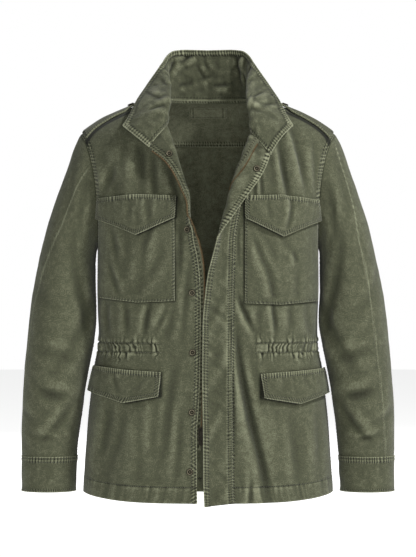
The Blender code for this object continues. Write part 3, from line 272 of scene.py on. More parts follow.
def placed(low, high, coarse, fine, zones):
    """Places from low to high, a coarse step apart, and a fine one inside the zones."""
    at = np.linspace(low, high, 6000)
    density = np.full(len(at), 1 / coarse)
    for start, end in zones:
        density[(at >= start) & (at <= end)] = 1 / fine
    total = np.concatenate([[0], np.cumsum((density[1:] + density[:-1]) / 2 * np.diff(at))])
    return np.interp(np.linspace(0, total[-1], int(total[-1]) + 1), total, at)


RIPPLE_REPEAT = 97


def ripple(u, v, seed):
    """Smooth uneven values from -1 to 1, with about one hump a unit each way."""
    lattice = np.random.default_rng(seed).uniform(-1, 1, (RIPPLE_REPEAT, RIPPLE_REPEAT))
    u, v = np.broadcast_arrays(u, v)
    i, j = np.floor(u).astype(int), np.floor(v).astype(int)
    s, t = u - i, v - j
    s, t = s * s * (3 - 2 * s), t * t * (3 - 2 * t)
    i, j, right, above = (k % RIPPLE_REPEAT for k in (i, j, i + 1, j + 1))
    low = lattice[i, j] * (1 - s) + lattice[right, j] * s
    high = lattice[i, above] * (1 - s) + lattice[right, above] * s
    return low * (1 - t) + high * t


def slack(u, v, seed):
    """Softness of washed cotton: broad shallow swells, with small crumples between them."""
    swell = ripple(u / 66, v / 90, seed) + 0.5 * ripple((u + 0.6 * v) / 31, (v - 0.4 * u) / 47, seed + 1)
    crumple = ripple((u + 0.5 * v) / 12, (v - 0.3 * u) / 21, seed + 2)
    return 0.8 * swell + 0.22 * crumple


def creased(x, z, rows, taper=False):
    """How far the folds in a table push the cloth out at x and z. A trough's push is negative."""
    push = np.zeros(np.broadcast(x, z).shape)
    for x1, z1, x2, z2, deep, width in zip(*(rows[name] for name in ("x1", "z1", "x2", "z2", "push", "width"))):
        along = np.array([x2 - x1, z2 - z1])
        length = np.linalg.norm(along)
        share = np.clip(((x - x1) * along[0] + (z - z1) * along[1]) / length**2, 0, 1)
        dx, dz = x - x1 - share * along[0], z - z1 - share * along[1]
        away = np.hypot(dx, dz)
        if not taper:
            push = push + deep * hump(away, 0, width)
            continue
        bend = 0.35 * width * np.sin(3 * share + x1)
        sideways = (dx * along[1] - dz * along[0]) / length + bend
        fade = np.sin(np.pi * np.clip(share * 0.9 + 0.05, 0, 1)) ** 0.7
        past = np.maximum(np.hypot(dx, dz) - np.abs(sideways), 0)
        trough = hump(sideways, 0, width)
        shoulder = hump(sideways, 1.7 * width, 1.3 * width)
        push = push + deep * fade * (trough - 0.55 * shoulder) * hump(past, 0, width)
    return push


def gathers(across, z, seed):
    """Cloth drawn into small upright pleats by the two rows of elastic at the waist."""
    above, below = ELASTIC_ROWS
    zone = smooth(z, below - 0.5, below + 0.5) + smooth(z, above - 0.5, above + 0.5)
    phase = across / GATHER_PITCH + 1.1 * ripple(across / 16, zone, seed + 4)
    phase = phase + 0.3 * ripple(across / 7, z / 6, seed + 6)
    slot = np.abs((phase - np.floor(phase)) - 0.5) * 2
    pleat = 1.0 - 2.3 * hump(slot, 0, 0.36) + 0.3 * np.sin(4.3 * np.pi * phase + 1)
    strength = np.clip(0.75 + 0.8 * ripple(across / 8, 3.0 * zone, seed + 1), 0.1, 1.5)
    spread = 8 + 5 * np.where(z > above, ripple(across / 7, 0, seed + 2), ripple(across / 7, 5, seed + 2))
    away = np.maximum(np.maximum(z - above, below - z), 0)
    reach = np.exp(-((away / np.maximum(spread, 4)) ** 1.6))
    pinch = sum(hump(z, row, 1.8) for row in ELASTIC_ROWS)
    return GATHER_DEEP * 0.72 * reach * strength * pleat * (1 - 0.35 * pinch) - 1.2 * pinch * reach


def topstitched(along, away, rows, seed, pitch=6.2, rise=0.45, rope=0.42, slant=0.5):
    """Height and paleness of the puckered band between an edge or seam and its rows of stitches. The paleness
    is painted light and shade on the puckers and sunken stitches, and wear at the edge.
    """
    band = rows[-1] + 1.0
    inside = 1 - smooth(away, band, band + 1.3)
    phase = along / pitch + 0.6 * ripple(along / 19, 0 * along, seed) + slant * away / pitch
    strength = np.clip(0.8 + 0.4 * ripple(along / 12, 0 * along, seed + 1), 0.45, 1.15)
    cord = np.sin(2 * np.pi * phase)
    cord = np.sign(cord) * np.abs(cord) ** 0.7 * strength
    reach = (1 - smooth(away, band, band + 3.5)) * np.where(away < band, 1, 0.45)
    stitched = sum(hump(away, row, 0.8) for row in rows)
    edge = hump(away, 0, 1.0)
    high = rise * inside + rope * cord * reach * (1 - 0.6 * np.clip(stitched, 0, 1))
    high = high - 0.6 * stitched + 0.2 * edge
    dots = 1 - np.sin(2 * np.pi * phase)
    sunk = sum(hump(away, row, 1.1) for row in rows)
    # Painted light and shade: pucker ridges paler and the sunken rows of stitches darker; the edge is paler
    # with wear.
    pale = 0.14 * inside + 1.1 * rope * cord * reach - 0.95 * dots * sunk + 0.75 * edge
    return high, pale


def hemmed(across, up, row, seed):
    """Height and paleness of a turned-up hem: puckers under its row of stitches, painted paler and darker as
    light and shade, a row of stitches painted dark as shade, and an edge paler with wear.
    """
    inside = 1 - smooth(up, row, row + 1.5)
    streaks = ripple(across / 4.6, up / 70, seed) + 0.6 * ripple(across / 2.4, up / 40, seed + 1)
    near = hump(up, row, 7)
    strength = (0.4 + 0.6 * near) * inside + 0.7 * near * np.exp(-np.maximum(up - row, 0) / 3) * (1 - inside)
    stitched = hump(up, row, 0.9)
    worn_edge = hump(up, 0, 1.6)
    high = 0.4 * streaks * strength + 0.25 * inside - 0.6 * stitched
    return high, 0.3 * streaks * strength - 0.85 * stitched + 0.5 * worn_edge


def grid_normals(points, outward):
    """Directions out of a grid of points. Outward is the way that its middle faces."""
    normals = np.cross(np.gradient(points, axis=1), np.gradient(points, axis=0))
    normals /= np.linalg.norm(normals, axis=2, keepdims=True) + 1e-12
    middle = normals[points.shape[0] // 2, points.shape[1] // 2]
    return normals * np.sign(middle @ np.array(outward, float))


def run_across(points):
    step = np.linalg.norm(np.diff(points, axis=1), axis=2)
    return np.hstack([np.zeros((len(points), 1)), np.cumsum(step, axis=1)])


def run_up(points):
    step = np.linalg.norm(np.diff(points, axis=0), axis=2)
    return np.vstack([np.zeros((1, points.shape[1])), np.cumsum(step, axis=0)])


def edges_away(points):
    """Distances over the cloth from a grid's left, right, lower and upper edges."""
    across, up = run_across(points), run_up(points)
    return across, across[:, -1:] - across, up, up[-1:] - up


def ring_closed(points):
    """A tube's grid with its first column again at its end."""
    return np.concatenate([points, points[:, :1]], axis=1)


def blurred(values, reach):
    """Values of a grid averaged over the points around each."""
    for axis in (0, 1):
        wide = np.pad(values, [(reach + 1, reach) if k == axis else (0, 0) for k in (0, 1)], "edge")
        total = np.cumsum(wide, axis=axis)
        values = np.take(total, np.arange(2 * reach + 1, total.shape[axis]), axis)
        values = (values - np.take(total, np.arange(total.shape[axis] - 2 * reach - 1), axis)) / (2 * reach + 1)
    return values


def pushed(points, outward, push, pale=0.0, seen=1.0):
    """A grid's points moved out, with their directions, paleness and place on the flat cloth.

    Ridges are made paler than the cloth around them and hollows darker: the pale ridges are partly washing wear
    and partly painted light, and the dark hollows are painted shade. Seen is 1 where the face outward shows,
    and -1 where the other face does.
    """
    across, up = run_across(points), run_up(points)
    push = push + np.zeros(across.shape)
    moved = points + grid_normals(points, outward) * push[..., None]
    facing = grid_normals(moved, outward)
    fine, broad = push - blurred(push, 3), push - blurred(push, 11)
    wear_and_painted_shading = pale + seen * (np.clip(0.35 * fine, -0.4, 0.4) + np.clip(0.1 * broad, -0.28, 0.16))
    wear_and_painted_shading = wear_and_painted_shading[..., None]
    return np.concatenate([moved, facing, wear_and_painted_shading, across[..., None], up[..., None]], axis=2)


def turned_in(data, count, wall):
    """The grid with its first rows folded over to the inside, as a hem or a facing is."""
    back = data[:count][::-1].copy()
    back[..., :3] -= back[..., 3:6] * wall
    back[..., 6] -= 0.25
    return np.concatenate([back, data])


def mirrored(data, side, ring=False):
    """A grid made for the wearer's left, on its own side. A tube's ends are brought together."""
    if ring:
        data[:, -1, :6] = data[:, 0, :6]
    data[..., :6] *= [side, 1, 1, side, 1, 1]
    return data


class Value:
    """A socket of a material's nodes, so that shader maths can be written as expressions."""

    def __init__(self, tree, socket=None):
        self.tree, self.socket = tree, socket

    def node(self, kind, settings=(), sockets=(), output=0):
        node = self.tree.nodes.new("ShaderNode" + kind)
        for name, value in dict(settings).items():
            setattr(node, name, value)
        for name, value in dict(sockets).items():
            if isinstance(value, Value):
                self.tree.links.new(value.socket, node.inputs[name])
            else:
                node.inputs[name].default_value = value
        return Value(self.tree, node.outputs[output])

    def maths(self, operation, a, b=0.0):
        return self.node("Math", {"operation": operation}, {0: a, 1: b})

    def __add__(self, other):
        return self.maths("ADD", self, other)

    __radd__ = __add__

    def __sub__(self, other):
        return self.maths("SUBTRACT", self, other)

    def __mul__(self, other):
        return self.maths("MULTIPLY", self, other)

    def noise(self, scale, detail=2.0, roughness=0.5):
        """Blender's noise, at the place that this value gives."""
        sockets = {"Vector": self, "Scale": scale, "Detail": detail, "Roughness": roughness}
        return self.node("TexNoise", sockets=sockets)

    def within(self, low, high):
        """The value spread from 0 at low to 1 at high, and kept inside that."""
        return self.node("MapRange", {"clamp": True}, {0: self, 1: low, 2: high, 3: 0.0, 4: 1.0})

    def mixed(self, a, b):
        """Colour a where this value is 0, and colour b where it is 1."""
        return self.node("Mix", {"data_type": "RGBA"}, {0: self, 6: a, 7: b}, output=2)


def finish(name, roughness, metallic=0.0, sheen=0.0, specular=0.5):
    """A new material, its shader, and a value to start its maths from."""
    material = bpy.data.materials.new(name)
    material.use_nodes = True
    shader = material.node_tree.nodes["Principled BSDF"]
    for socket, value in (
        ("Roughness", roughness),
        ("Metallic", metallic),
        ("Sheen Weight", sheen),
        ("Specular IOR Level", specular),
    ):
        shader.inputs[socket].default_value = value
    return material, shader, Value(material.node_tree)


def wear_to(start, shader, socket, value):
    start.tree.links.new(value.socket, shader.inputs[socket])


RIB_PITCH, CROSS_PITCH = 0.0013, 0.0021


def cotton(name, base, pale, deep, weave=1.0):
    """Washed cotton twill: fine slanting ribs, mottled dye, paler on ridges with wear and painted light, and
    dark in grooves and next to parts as painted shade.
    """
    material, shader, start = finish(name, 0.92, sheen=0.12, specular=0.2)
    flat = start.node("UVMap", {"uv_map": "UVMap"})
    parts = start.node("SeparateXYZ", sockets={0: flat})
    u, v = parts, Value(parts.tree, parts.socket.node.outputs[1])
    rib = start.maths("SINE", (u * 0.8 + v) * (2 * np.pi / RIB_PITCH))
    cross = start.maths("SINE", (u - v * 0.35) * (2 * np.pi / CROSS_PITCH))
    broad, mottle = flat.noise(13.0), flat.noise(60.0, 4.0, 0.6)
    crumple, grain = flat.noise(150.0, 3.0, 0.6), flat.noise(520.0, 2.0, 0.7)
    # Each point's paleness: wear on edges and ridges, with painted light and shade.
    wear_and_painted_shading = start.node("Attribute", {"attribute_name": "wear_and_painted_shading"}, output=2)
    fade = wear_and_painted_shading * (0.7 + mottle * 0.8) + (broad - 0.5) * 0.4 + (mottle - 0.5) * 0.55
    fade = fade + (crumple - 0.5) * 0.8 + (grain - 0.5) * 1.7
    shade = fade.within(0.0, 1.25).mixed(base, pale)
    colour = (fade * -1.0).within(0.0, 1.2).mixed(shade, deep)
    wear_to(start, shader, "Base Color", colour)
    height = rib * 0.15 * weave + cross * 0.08 * weave + grain * 0.8 + crumple * 1.8 + mottle * 1.2
    bump = start.node("Bump", {}, {"Strength": 0.5, "Distance": 0.0009, "Height": height})
    wear_to(start, shader, "Normal", bump)
    return material


OLIVE_COLOURS = (0.068, 0.0725, 0.042, 1), (0.25, 0.26, 0.168, 1), (0.01, 0.011, 0.006, 1)
OLIVE = cotton("olive_cotton", *OLIVE_COLOURS)


def edited(obj, operator, **settings):
    """Runs a mesh operator over the whole of an object."""
    bpy.context.view_layer.objects.active = obj
    bpy.ops.object.mode_set(mode="EDIT")
    bpy.ops.mesh.select_all(action="SELECT")
    operator(**settings)
    bpy.ops.object.mode_set(mode="OBJECT")


def sewn_sheet(name, data, material, wall=0.0, ring=False):
    """A cloth piece from a grid of points, with its flat pattern as its UV map."""
    rows, columns = data.shape[:2]
    bpy.ops.object.select_all(action="DESELECT")
    bpy.ops.mesh.primitive_grid_add(x_subdivisions=columns - 1, y_subdivisions=rows - 1, size=1)
    obj = bpy.context.object
    obj.name = obj.data.name = name
    mesh = obj.data
    flat = data.reshape(-1, data.shape[2])
    mesh.vertices.foreach_set("co", (flat[:, :3] * MM).ravel())
    corner = np.zeros(len(mesh.loops), int)
    mesh.loops.foreach_get("vertex_index", corner)
    mesh.uv_layers[0].name = "UVMap"
    mesh.uv_layers[0].data.foreach_set("uv", (flat[corner, 7:9] * MM).ravel())
    # Each point's paleness, with its wear and its painted light and shade.
    mesh.attributes.new("wear_and_painted_shading", "FLOAT", "POINT").data.foreach_set("value", flat[:, 6])
    mesh.update()
    facing = np.zeros(len(mesh.polygons) * 3)
    mesh.polygons.foreach_get("normal", facing)
    first = np.array([p.vertices[0] for p in mesh.polygons])
    if (facing.reshape(-1, 3) * flat[first, 3:6]).sum() < 0:
        mesh.flip_normals()
    if ring:
        edited(obj, bpy.ops.mesh.remove_doubles, threshold=5e-6)
    if wall:
        solid = obj.modifiers.new("wall", "SOLIDIFY")
        solid.thickness = wall * MM
        solid.offset = -1
        bpy.ops.object.modifier_apply(modifier="wall")
    obj.data.materials.append(material)
    obj.data.shade_smooth()
    return obj


def dressed(obj, node, slot="cloth", **cut):
    """Puts the cloth in its solid's place, by hiding the solid and joining the cloth to the jacket. The slot,
    the size it was cut to and how it is held are given but not used.
    """
    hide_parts(node)
    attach(obj, "jacket")


def joined_parts(name, points, faces, material):
    """A piece of many small equal parts, in one mesh."""
    mesh = bpy.data.meshes.new(name)
    mesh.from_pydata((points * MM).tolist(), [], faces)
    mesh.materials.append(material)
    obj = bpy.data.objects.new(name, mesh)
    bpy.context.scene.collection.objects.link(obj)
    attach(obj, "jacket")
    return obj


THREADS = {}
STITCH_PITCH, STITCH_LONG, STITCH_THICK = 3.3, 2.5, 0.34
OLIVE_THREAD, shader, start = finish("olive_thread", 0.7, sheen=0.2)
twist = start.node("TexCoord", output=3).noise(900.0)
wear_to(start, shader, "Base Color", twist.mixed((0.13, 0.135, 0.095, 1), (0.23, 0.235, 0.17, 1)))


def stitches(group, line):
    """A row of thread stitches along a line of points with their directions, kept for its group."""
    line = np.asarray(line)
    line = line[np.concatenate([[True], np.linalg.norm(np.diff(line[:, :3], axis=0), axis=1) > 1e-6])]
    run = lengths(line[:, :3])
    starts = np.arange(STITCH_PITCH / 2, run[-1] - STITCH_LONG, STITCH_PITCH)
    a, middle, b = (read_at(line, run, starts + share * STITCH_LONG) for share in (0, 0.5, 1))
    out = middle[:, 3:6] / (np.linalg.norm(middle[:, 3:6], axis=1, keepdims=True) + 1e-9)
    along = b[:, :3] - a[:, :3]
    side = np.cross(along, out)
    side /= np.linalg.norm(side, axis=1, keepdims=True) + 1e-9
    top = middle[:, :3] + out * STITCH_THICK * 1.1
    low = middle[:, :3] - out * STITCH_THICK
    left, right = middle[:, :3] + side * STITCH_THICK * 0.9, middle[:, :3] - side * STITCH_THICK * 0.9
    corners = np.stack([a[:, :3], left, top, right, low, b[:, :3]], 1)
    THREADS.setdefault(group, []).append(corners.reshape(-1, 3))


def sew(group):
    """The group's stitches, as one piece."""
    points = np.vstack(THREADS.pop(group))
    ends = np.array([(0, 2, 1), (0, 3, 2), (0, 4, 3), (0, 1, 4), (5, 1, 2), (5, 2, 3), (5, 3, 4), (5, 4, 1)])
    faces = (np.arange(0, len(points), 6)[:, None, None] + ends[None]).reshape(-1, 3)
    joined_parts(f"{group}_stitching", points, faces.tolist(), OLIVE_THREAD).data.shade_smooth()


def row_line(data, away, value):
    """The line that crosses a grid's rows where each is a given distance along."""
    return [[np.interp(value, d, row[:, k]) for k in range(6)] for row, d in zip(data, away)]


def column_line(data, away, value):
    return row_line(data.swapaxes(0, 1), np.asarray(away).T, value)


def stitch_rows(group, data, left=(), right=(), low=(), top=()):
    """Rows of stitches at distances from a grid's left, right, lower and upper edges."""
    across, up = data[..., 7], data[..., 8]
    turned = data[:, ::-1]
    for line, rows, away, places in (
        (row_line, data, across, left),
        (row_line, turned, (across[:, -1:] - across)[:, ::-1], right),
        (column_line, data, up, low),
        (column_line, data[::-1], (up[-1:] - up)[::-1], top),
    ):
        for place in places:
            stitches(group, line(rows, away, place))


def back_line(z):
    """A row of the back, from one side seam or armhole to the other."""
    above = z > ARMPIT_Z
    outer = armhole_x(z, True) if above else outer_end(float(level_of(z, 0.0, True)), True)
    x = outer * (1 - np.linspace(0, 1, LINE_POINTS) ** 3)
    heights = np.full(LINE_POINTS, z) if above else height(level_of(z, 0.0, True), x, True)
    return both_halves(body_points(x, heights, True))


def back_push(x, z):
    return creased(x, z, BACK_FOLDS) + creased(x, z, BACK_CREASES, taper=True) + slack(x, z, 5)


BACK_WIDTH = 560.0
BACK_HEM_ROW = 27.0
back_rows = placed(HEM_BACK_Z, YOKE_Z - SEAM_GAP / 2, 3.6, 1.9, [(-735, -700), (-478, -432), (-86, -76)])
back_shares = placed(0, BACK_WIDTH, 2.3, 1.6, [(0, 10), (BACK_WIDTH - 10, BACK_WIDTH)]) / BACK_WIDTH
points = np.array([sample(back_line(z), back_shares) for z in back_rows])
across, right_away, up, top_away = edges_away(points)
hem_high, hem_pale = hemmed(across, up, BACK_HEM_ROW, 11)
push = back_push(points[..., 0], points[..., 2]) * smooth(np.minimum(across, right_away), 0, 25)
gather = gathers(BACK_WIDTH * across / across[:, -1:], points[..., 2], 21)
push = push * smooth(top_away, 0, 20) + hem_high + gather
# Painted light and shade: the gathers' ridges are paler and their troughs darker, and the upper back, whose
# inside shows in the open neck, is painted paler as light.
pale = hem_pale + 0.12 * gather + 0.4 * smooth(points[..., 2], -430, -250)
data = pushed(points, (0, 1, 0), push, pale)
stitch_rows("back", data, low=(BACK_HEM_ROW,))
for row in ELASTIC_ROWS:
    stitches("back", column_line(data, points[..., 2], row))
data = turned_in(data, count=14, wall=1.5)
dressed(sewn_sheet("back_cloth", data, OLIVE), "back", flat=(0.6, 0.69), held="gathered")
sew("back")


# The yoke: a shallow panel over the shoulders, with a flat felled seam to the back below it. The
# inside of that seam shows through the open neck as a ridge with two rows of stitches.
NECK_SIDE_X = 88.0
BACK_NECK_Z = 6.6
FELL_ROWS = (2.5, 8.0)
ARM_ROWS = (2.2, 8.2)


def yoke_top_z(x):
    """Top of the yoke: the back neckline, and the shoulder line beyond it."""
    return np.where(np.abs(x) < NECK_SIDE_X, BACK_NECK_Z - 0.6 * (x / NECK_SIDE_X) ** 2, shoulder_z(x))


yoke_shares = 1 - (1 - np.linspace(0, 1, 64)) ** 2.2
spread = placed(0, 240, 2.4, 1.2, [(0, 10)]) / 240
rows = []
for share in yoke_shares:
    low = YOKE_Z + SEAM_GAP / 2
    tip_z = low + share * (SHOULDER["z"][-2] - low)
    outer = armhole_x(tip_z, True) if share < 1 else SHOULDER_TIP_X
    x = (outer - SEAM_GAP / 2) * (1 - spread)
    z = low + share * (yoke_top_z(x) - low)
    rows.append(both_halves(body_points(x, np.minimum(z, shoulder_z(x)), True)))
points = np.array(rows)
across, right_away, up, top_away = edges_away(points)
fell_high, fell_pale = topstitched(across, up, FELL_ROWS, 31, pitch=5.0, rise=0.5, rope=0.3, slant=0.1)
near_top = smooth(top_away, 0, 14)
edge = np.minimum(across, right_away)
arm_high, arm_pale = topstitched(up, edge, ARM_ROWS, 33, rope=0.35)
swell = slack(points[..., 0], points[..., 2], 6) * smooth(up, 0, 20) * near_top * smooth(edge, 0, 25)
push = swell + fell_high * near_top + arm_high * near_top
# The yoke is painted paler all over as light, for its inside in the open neck.
data = pushed(points, (0, 1, 0), push, fell_pale + arm_pale + 0.5)
stitch_rows("yoke", data, low=FELL_ROWS)
yoke = sewn_sheet("back_yoke_cloth", data, OLIVE, wall=CLOTH)
dressed(yoke, "back_yoke", flat=(0.48, 0.13), area=0.053, held="draped")
sew("yoke")


# The fronts: washed cotton from side seam to front edge, gathered at the waist, with a turned-up hem.
# The right one is turned back above the third snap, with its facing outside.
RIGHT_EDGE = table(
    "z roll edge drop lift fold",
    (-745, 35, 19.5, 0, 1, 0), (-684, 34, 20, 0, 1, 0), (-608, 34, 20, 0, 1, 0),
    (-560, 32.5, 17, 0, 1, 0), (-500, 30.5, 14.3, 0, 1, 0), (-366, 29, 13, 0, 1, 0),
    (-328, 30, 14.3, 0, 1.5, 0), (-290, 32, 19, 0, 3, 0.05), (-256, 38, 26, 0, 4, 0.1),
    (-240, 42, 28, 0, 5.5, 0.15), (-222, 42, 34, 1.5, 8.5, 0.5), (-208, 41, 36, 3, 10.5, 0.8),
    (-187, 40.5, 37, 5, 11.5, 0.9), (-156, 46, 47, 8, 13, 1), (-126, 54, 59, 12, 14, 1),
    (-94.5, 63, 74, 22, 15, 1), (-71.5, 70.5, 88, 33, 15.5, 1), (-45.8, 80, 104.3, 47, 16, 1),
)
LEFT_EDGE = table(
    "z roll edge drop lift fold",
    (-745, 16, -5, 0, 7.5, 0), (-683, 15, -7.9, 0, 7.5, 0), (-608, 14, -8.4, 0, 7.5, 0),
    (-498, 14, -9.9, 0, 7.5, 0), (-410, 15, -9, 0, 7.5, 0), (-350, 18, -4.1, 0, 7.8, 0.05),
    (-320, 21, 0, 0, 8.2, 0.15), (-278, 26, 10.8, 0, 9.5, 0.4), (-258, 27.5, 16, 2, 10.5, 0.6),
    (-240.5, 29, 25, 2.5, 11.5, 0.8), (-213.6, 34.5, 42, 5.5, 12.5, 1), (-183, 43, 60, 10, 13.5, 1),
    (-152.6, 53, 77, 17, 14.5, 1), (-120.4, 64, 93, 27, 15.5, 1), (-90, 73.5, 105, 34, 16, 1),
    (-60.3, 84.5, 111.3, 47, 16, 1),
)
EDGE = {-1: RIGHT_EDGE, 1: LEFT_EDGE}
NECK_TOP_Z = {-1: -45.8, 1: -60.3}
ROLL_REACH = 9.0
FLY_SEAM = table(
    "z x",
    (-745, 47), (-700, 43.5), (-498, 43), (-258, 46), (-240, 48), (-213, 53),
    (-183, 60), (-152, 68), (-120, 76), (-90, 82), (-60.3, 87),
)
FRONT_FOLDS = folds(
    (48, -405, 82, -610, -4.5, 11),
    (66, -520, 114, -750, -6, 12),
    (77, -680, 75, -750, -3, 5),
    (128, -70, 150, -196, -3.5, 10),
    (152, -30, 184, -170, -3.5, 10),
    (100, -70, 108, -200, -2, 12),
    (-130, -80, -112, -190, -3.5, 14),
    (-190, -90, -165, -185, -3.5, 12),
    (-60, -480, -92, -680, -2.6, 16),
    (-160, -560, -190, -720, -3, 15),
    (-56, -360, -78, -440, -3, 10),
    (150, -550, 170, -730, -2.4, 16),
)
FRONT_CREASES = folds(
    (54, -440, 76, -590, -3.5, 8),
    (76, -585, 108, -700, -3.5, 8),
    (70, -450, 96, -560, -1.6, 9),
    (54, -355, 84, -425, -3.2, 6),
    (118, -366, 121, -428, -2.4, 5),
    (90, -372, 96, -430, -1.4, 7),
    (150, -368, 146, -430, -1.5, 7),
    (180, -370, 186, -430, -1.4, 7),
    (130, -80, 145, -182, -3.4, 6),
    (150, -44, 177, -165, -3.2, 7),
    (112, -84, 118, -176, -1.4, 8),
    (94, -135, 96, -180, -2.2, 4),
    (84, -150, 85, -182, -1.8, 4),
    (190, -75, 200, -175, -2.0, 7),
    (54, -205, 53, -300, -2.0, 5),
    (-96, -100, -98, -176, -3.2, 8),
    (-126, -80, -118, -150, -3.6, 17),
    (-70, -120, -52, -200, -3.4, 9),
    (-122, -75, -110, -160, -1.8, 9),
    (-168, -110, -188, -176, -2.6, 8),
    (-150, -70, -158, -150, -1.5, 9),
    (-48, -215, -50, -330, -2.6, 8),
    (-36, -300, -44, -440, -1.6, 7),
    (-104, -368, -114, -430, -2.4, 6),
    (-150, -368, -146, -428, -1.8, 6),
    (-74, -372, -92, -424, -1.8, 6),
    (-186, -366, -180, -428, -1.8, 6),
    (-60, -480, -74, -640, -1.8, 9),
    (-45, -560, -60, -690, -1.6, 8),
    (-84, -520, -104, -640, -1.3, 9),
    (-176, -548, -196, -650, -2.4, 9),
    (-120, -570, -128, -700, -1.4, 10),
    (-150, -560, -172, -660, -1.4, 9),
    (150, -570, 158, -700, -1.2, 10),
    (196, -560, 204, -690, -1.6, 9),
    (120, -560, 134, -640, -1.0, 9),
)
FRONT_GATHER_X = 85.0


def body_line(side, level, outer, inner):
    """One row of a front, from its outer end to its inner end, as a dense line."""
    x = outer + (inner - outer) * np.linspace(0, 1, LINE_POINTS) ** 3
    return body_points(x, height(level, x)) * [side, 1, 1]


def front_edge(side, level):
    """The front edge's table values at a level, with the height of the roll."""
    rows = EDGE[side]
    z = float(height(level, 30.0))
    for _ in range(4):
        row = row_between(rows, "z", z)
        z = float(height(level, row["roll"]))
    row["z"] = z
    return row


def neck_level(side):
    return float(level_of(NECK_TOP_Z[side], EDGE[side]["roll"][-1]))


def neckline_x(side, level):
    """Where the front neckline runs, from the turned-back edge up to the side of the neck."""
    start = FLY_SEAM["x"][-1] if side == 1 else RIGHT_EDGE["roll"][-1]
    share = (level - neck_level(side)) / (1 - neck_level(side))
    return float(start + (NECK_SIDE_X - start) * share)


def main_line(side, level):
    """A front's row from the side seam or armhole to the roll or neckline."""
    if level > neck_level(side) + 1e-6:
        return body_line(side, level, outer_end(level), neckline_x(side, level))
    return body_line(side, level, outer_end(level), front_edge(side, level)["roll"])


def lapel_line(side, level):
    """A front's row from the roll to the free edge: flat below the opening, turned back above it."""
    row = front_edge(side, level)
    main = main_line(side, level)
    roll = main[-1]
    inward = roll - main[-6]
    inward = inward / np.linalg.norm(inward)
    edge_z = row["z"] - row["drop"]
    edge = np.array([side * row["edge"], -depth(abs(row["edge"]), edge_z) - row["lift"], edge_z])
    reach = np.linalg.norm(edge - roll)
    out = np.array([0, -row["lift"], 0])
    flat = (roll + inward * reach / 3, edge - (edge - roll) / 3)
    turned = (roll + inward * ROLL_REACH + 0.1 * out, roll + inward * ROLL_REACH + 0.95 * out)
    first, second = (a + (b - a) * row["fold"] for a, b in zip(flat, turned))
    t = np.linspace(0, 1, 120)[:, None]
    return (1 - t) ** 3 * roll + 3 * (1 - t) ** 2 * t * first + 3 * (1 - t) * t**2 * second + t**3 * edge


def front_push(x, z):
    folded = creased(x, z, FRONT_FOLDS, taper=True) + 1.45 * creased(x, z, FRONT_CREASES, taper=True)
    return folded + 0.8 * slack(x, z, 8)


STRAP_FRONT_Y = -40.0


def painted_strap_shadow(points):
    """1 on the shoulder's cloth in front of an epaulette, where its shadow is painted."""
    return hump(points[..., 1], STRAP_FRONT_Y, 3) * smooth(np.abs(points[..., 0]), 128, 140)


def fly_seam_share(level, line):
    """How far along a left front's row the seam of its fly strip is."""
    seam = float(between(float(height(level, 45.0)), FLY_SEAM["z"], FLY_SEAM["x"]))
    run = lengths(line)
    return np.interp(seam, line[::-1, 0], run[::-1] / run[-1])


def outline(*rows):
    """A pocket's or flap's outline: from its inner side (0) to its outer one (1), each with its slant."""
    return table("share x lean top bottom", *rows)


CHEST_POCKET = {
    -1: outline((0, 60, 0, -192, -366), (0.5, 128, 0, -192, -369), (1, 196.5, 0, -192, -361)),
    1: outline((0, 66, 0, -192, -370), (0.5, 131, 0, -192, -373), (1, 197, 0, -199, -367)),
}
CHEST_FLAP = {
    -1: outline((0, 57.5, 1, -179, -217), (0.49, 126, 0, -175.5, -247), (1, 198, 0, -181, -217)),
    1: outline((0, 66, 0, -179, -218), (0.5, 132, 1, -176.5, -250), (1, 198, 1, -184, -220)),
}
HIP_FLAP = {
    -1: outline((0, 84, 5, -495, -538), (0.52, 146, 6, -491.5, -550), (1, 204, 8, -486, -532)),
    1: outline((0, 95, 6, -498, -541), (0.54, 158, 7, -494, -552), (1, 208, 6, -490.5, -536)),
}


def painted_shadow_beside(x, z, patch):
    """1 on the cloth next to a pocket's or flap's sides and lower edge, where a shadow is painted."""
    share = np.interp(x, patch["x"], patch["share"])
    low, top = (np.interp(share, patch["share"], patch[name]) for name in ("bottom", "top"))
    out = np.maximum(np.maximum(patch["x"][0] - x, x - patch["x"][-1]), 0)
    away = np.hypot(out, np.maximum(low - z, 0))
    return hump(away, 0, 2.6) * (z < top)


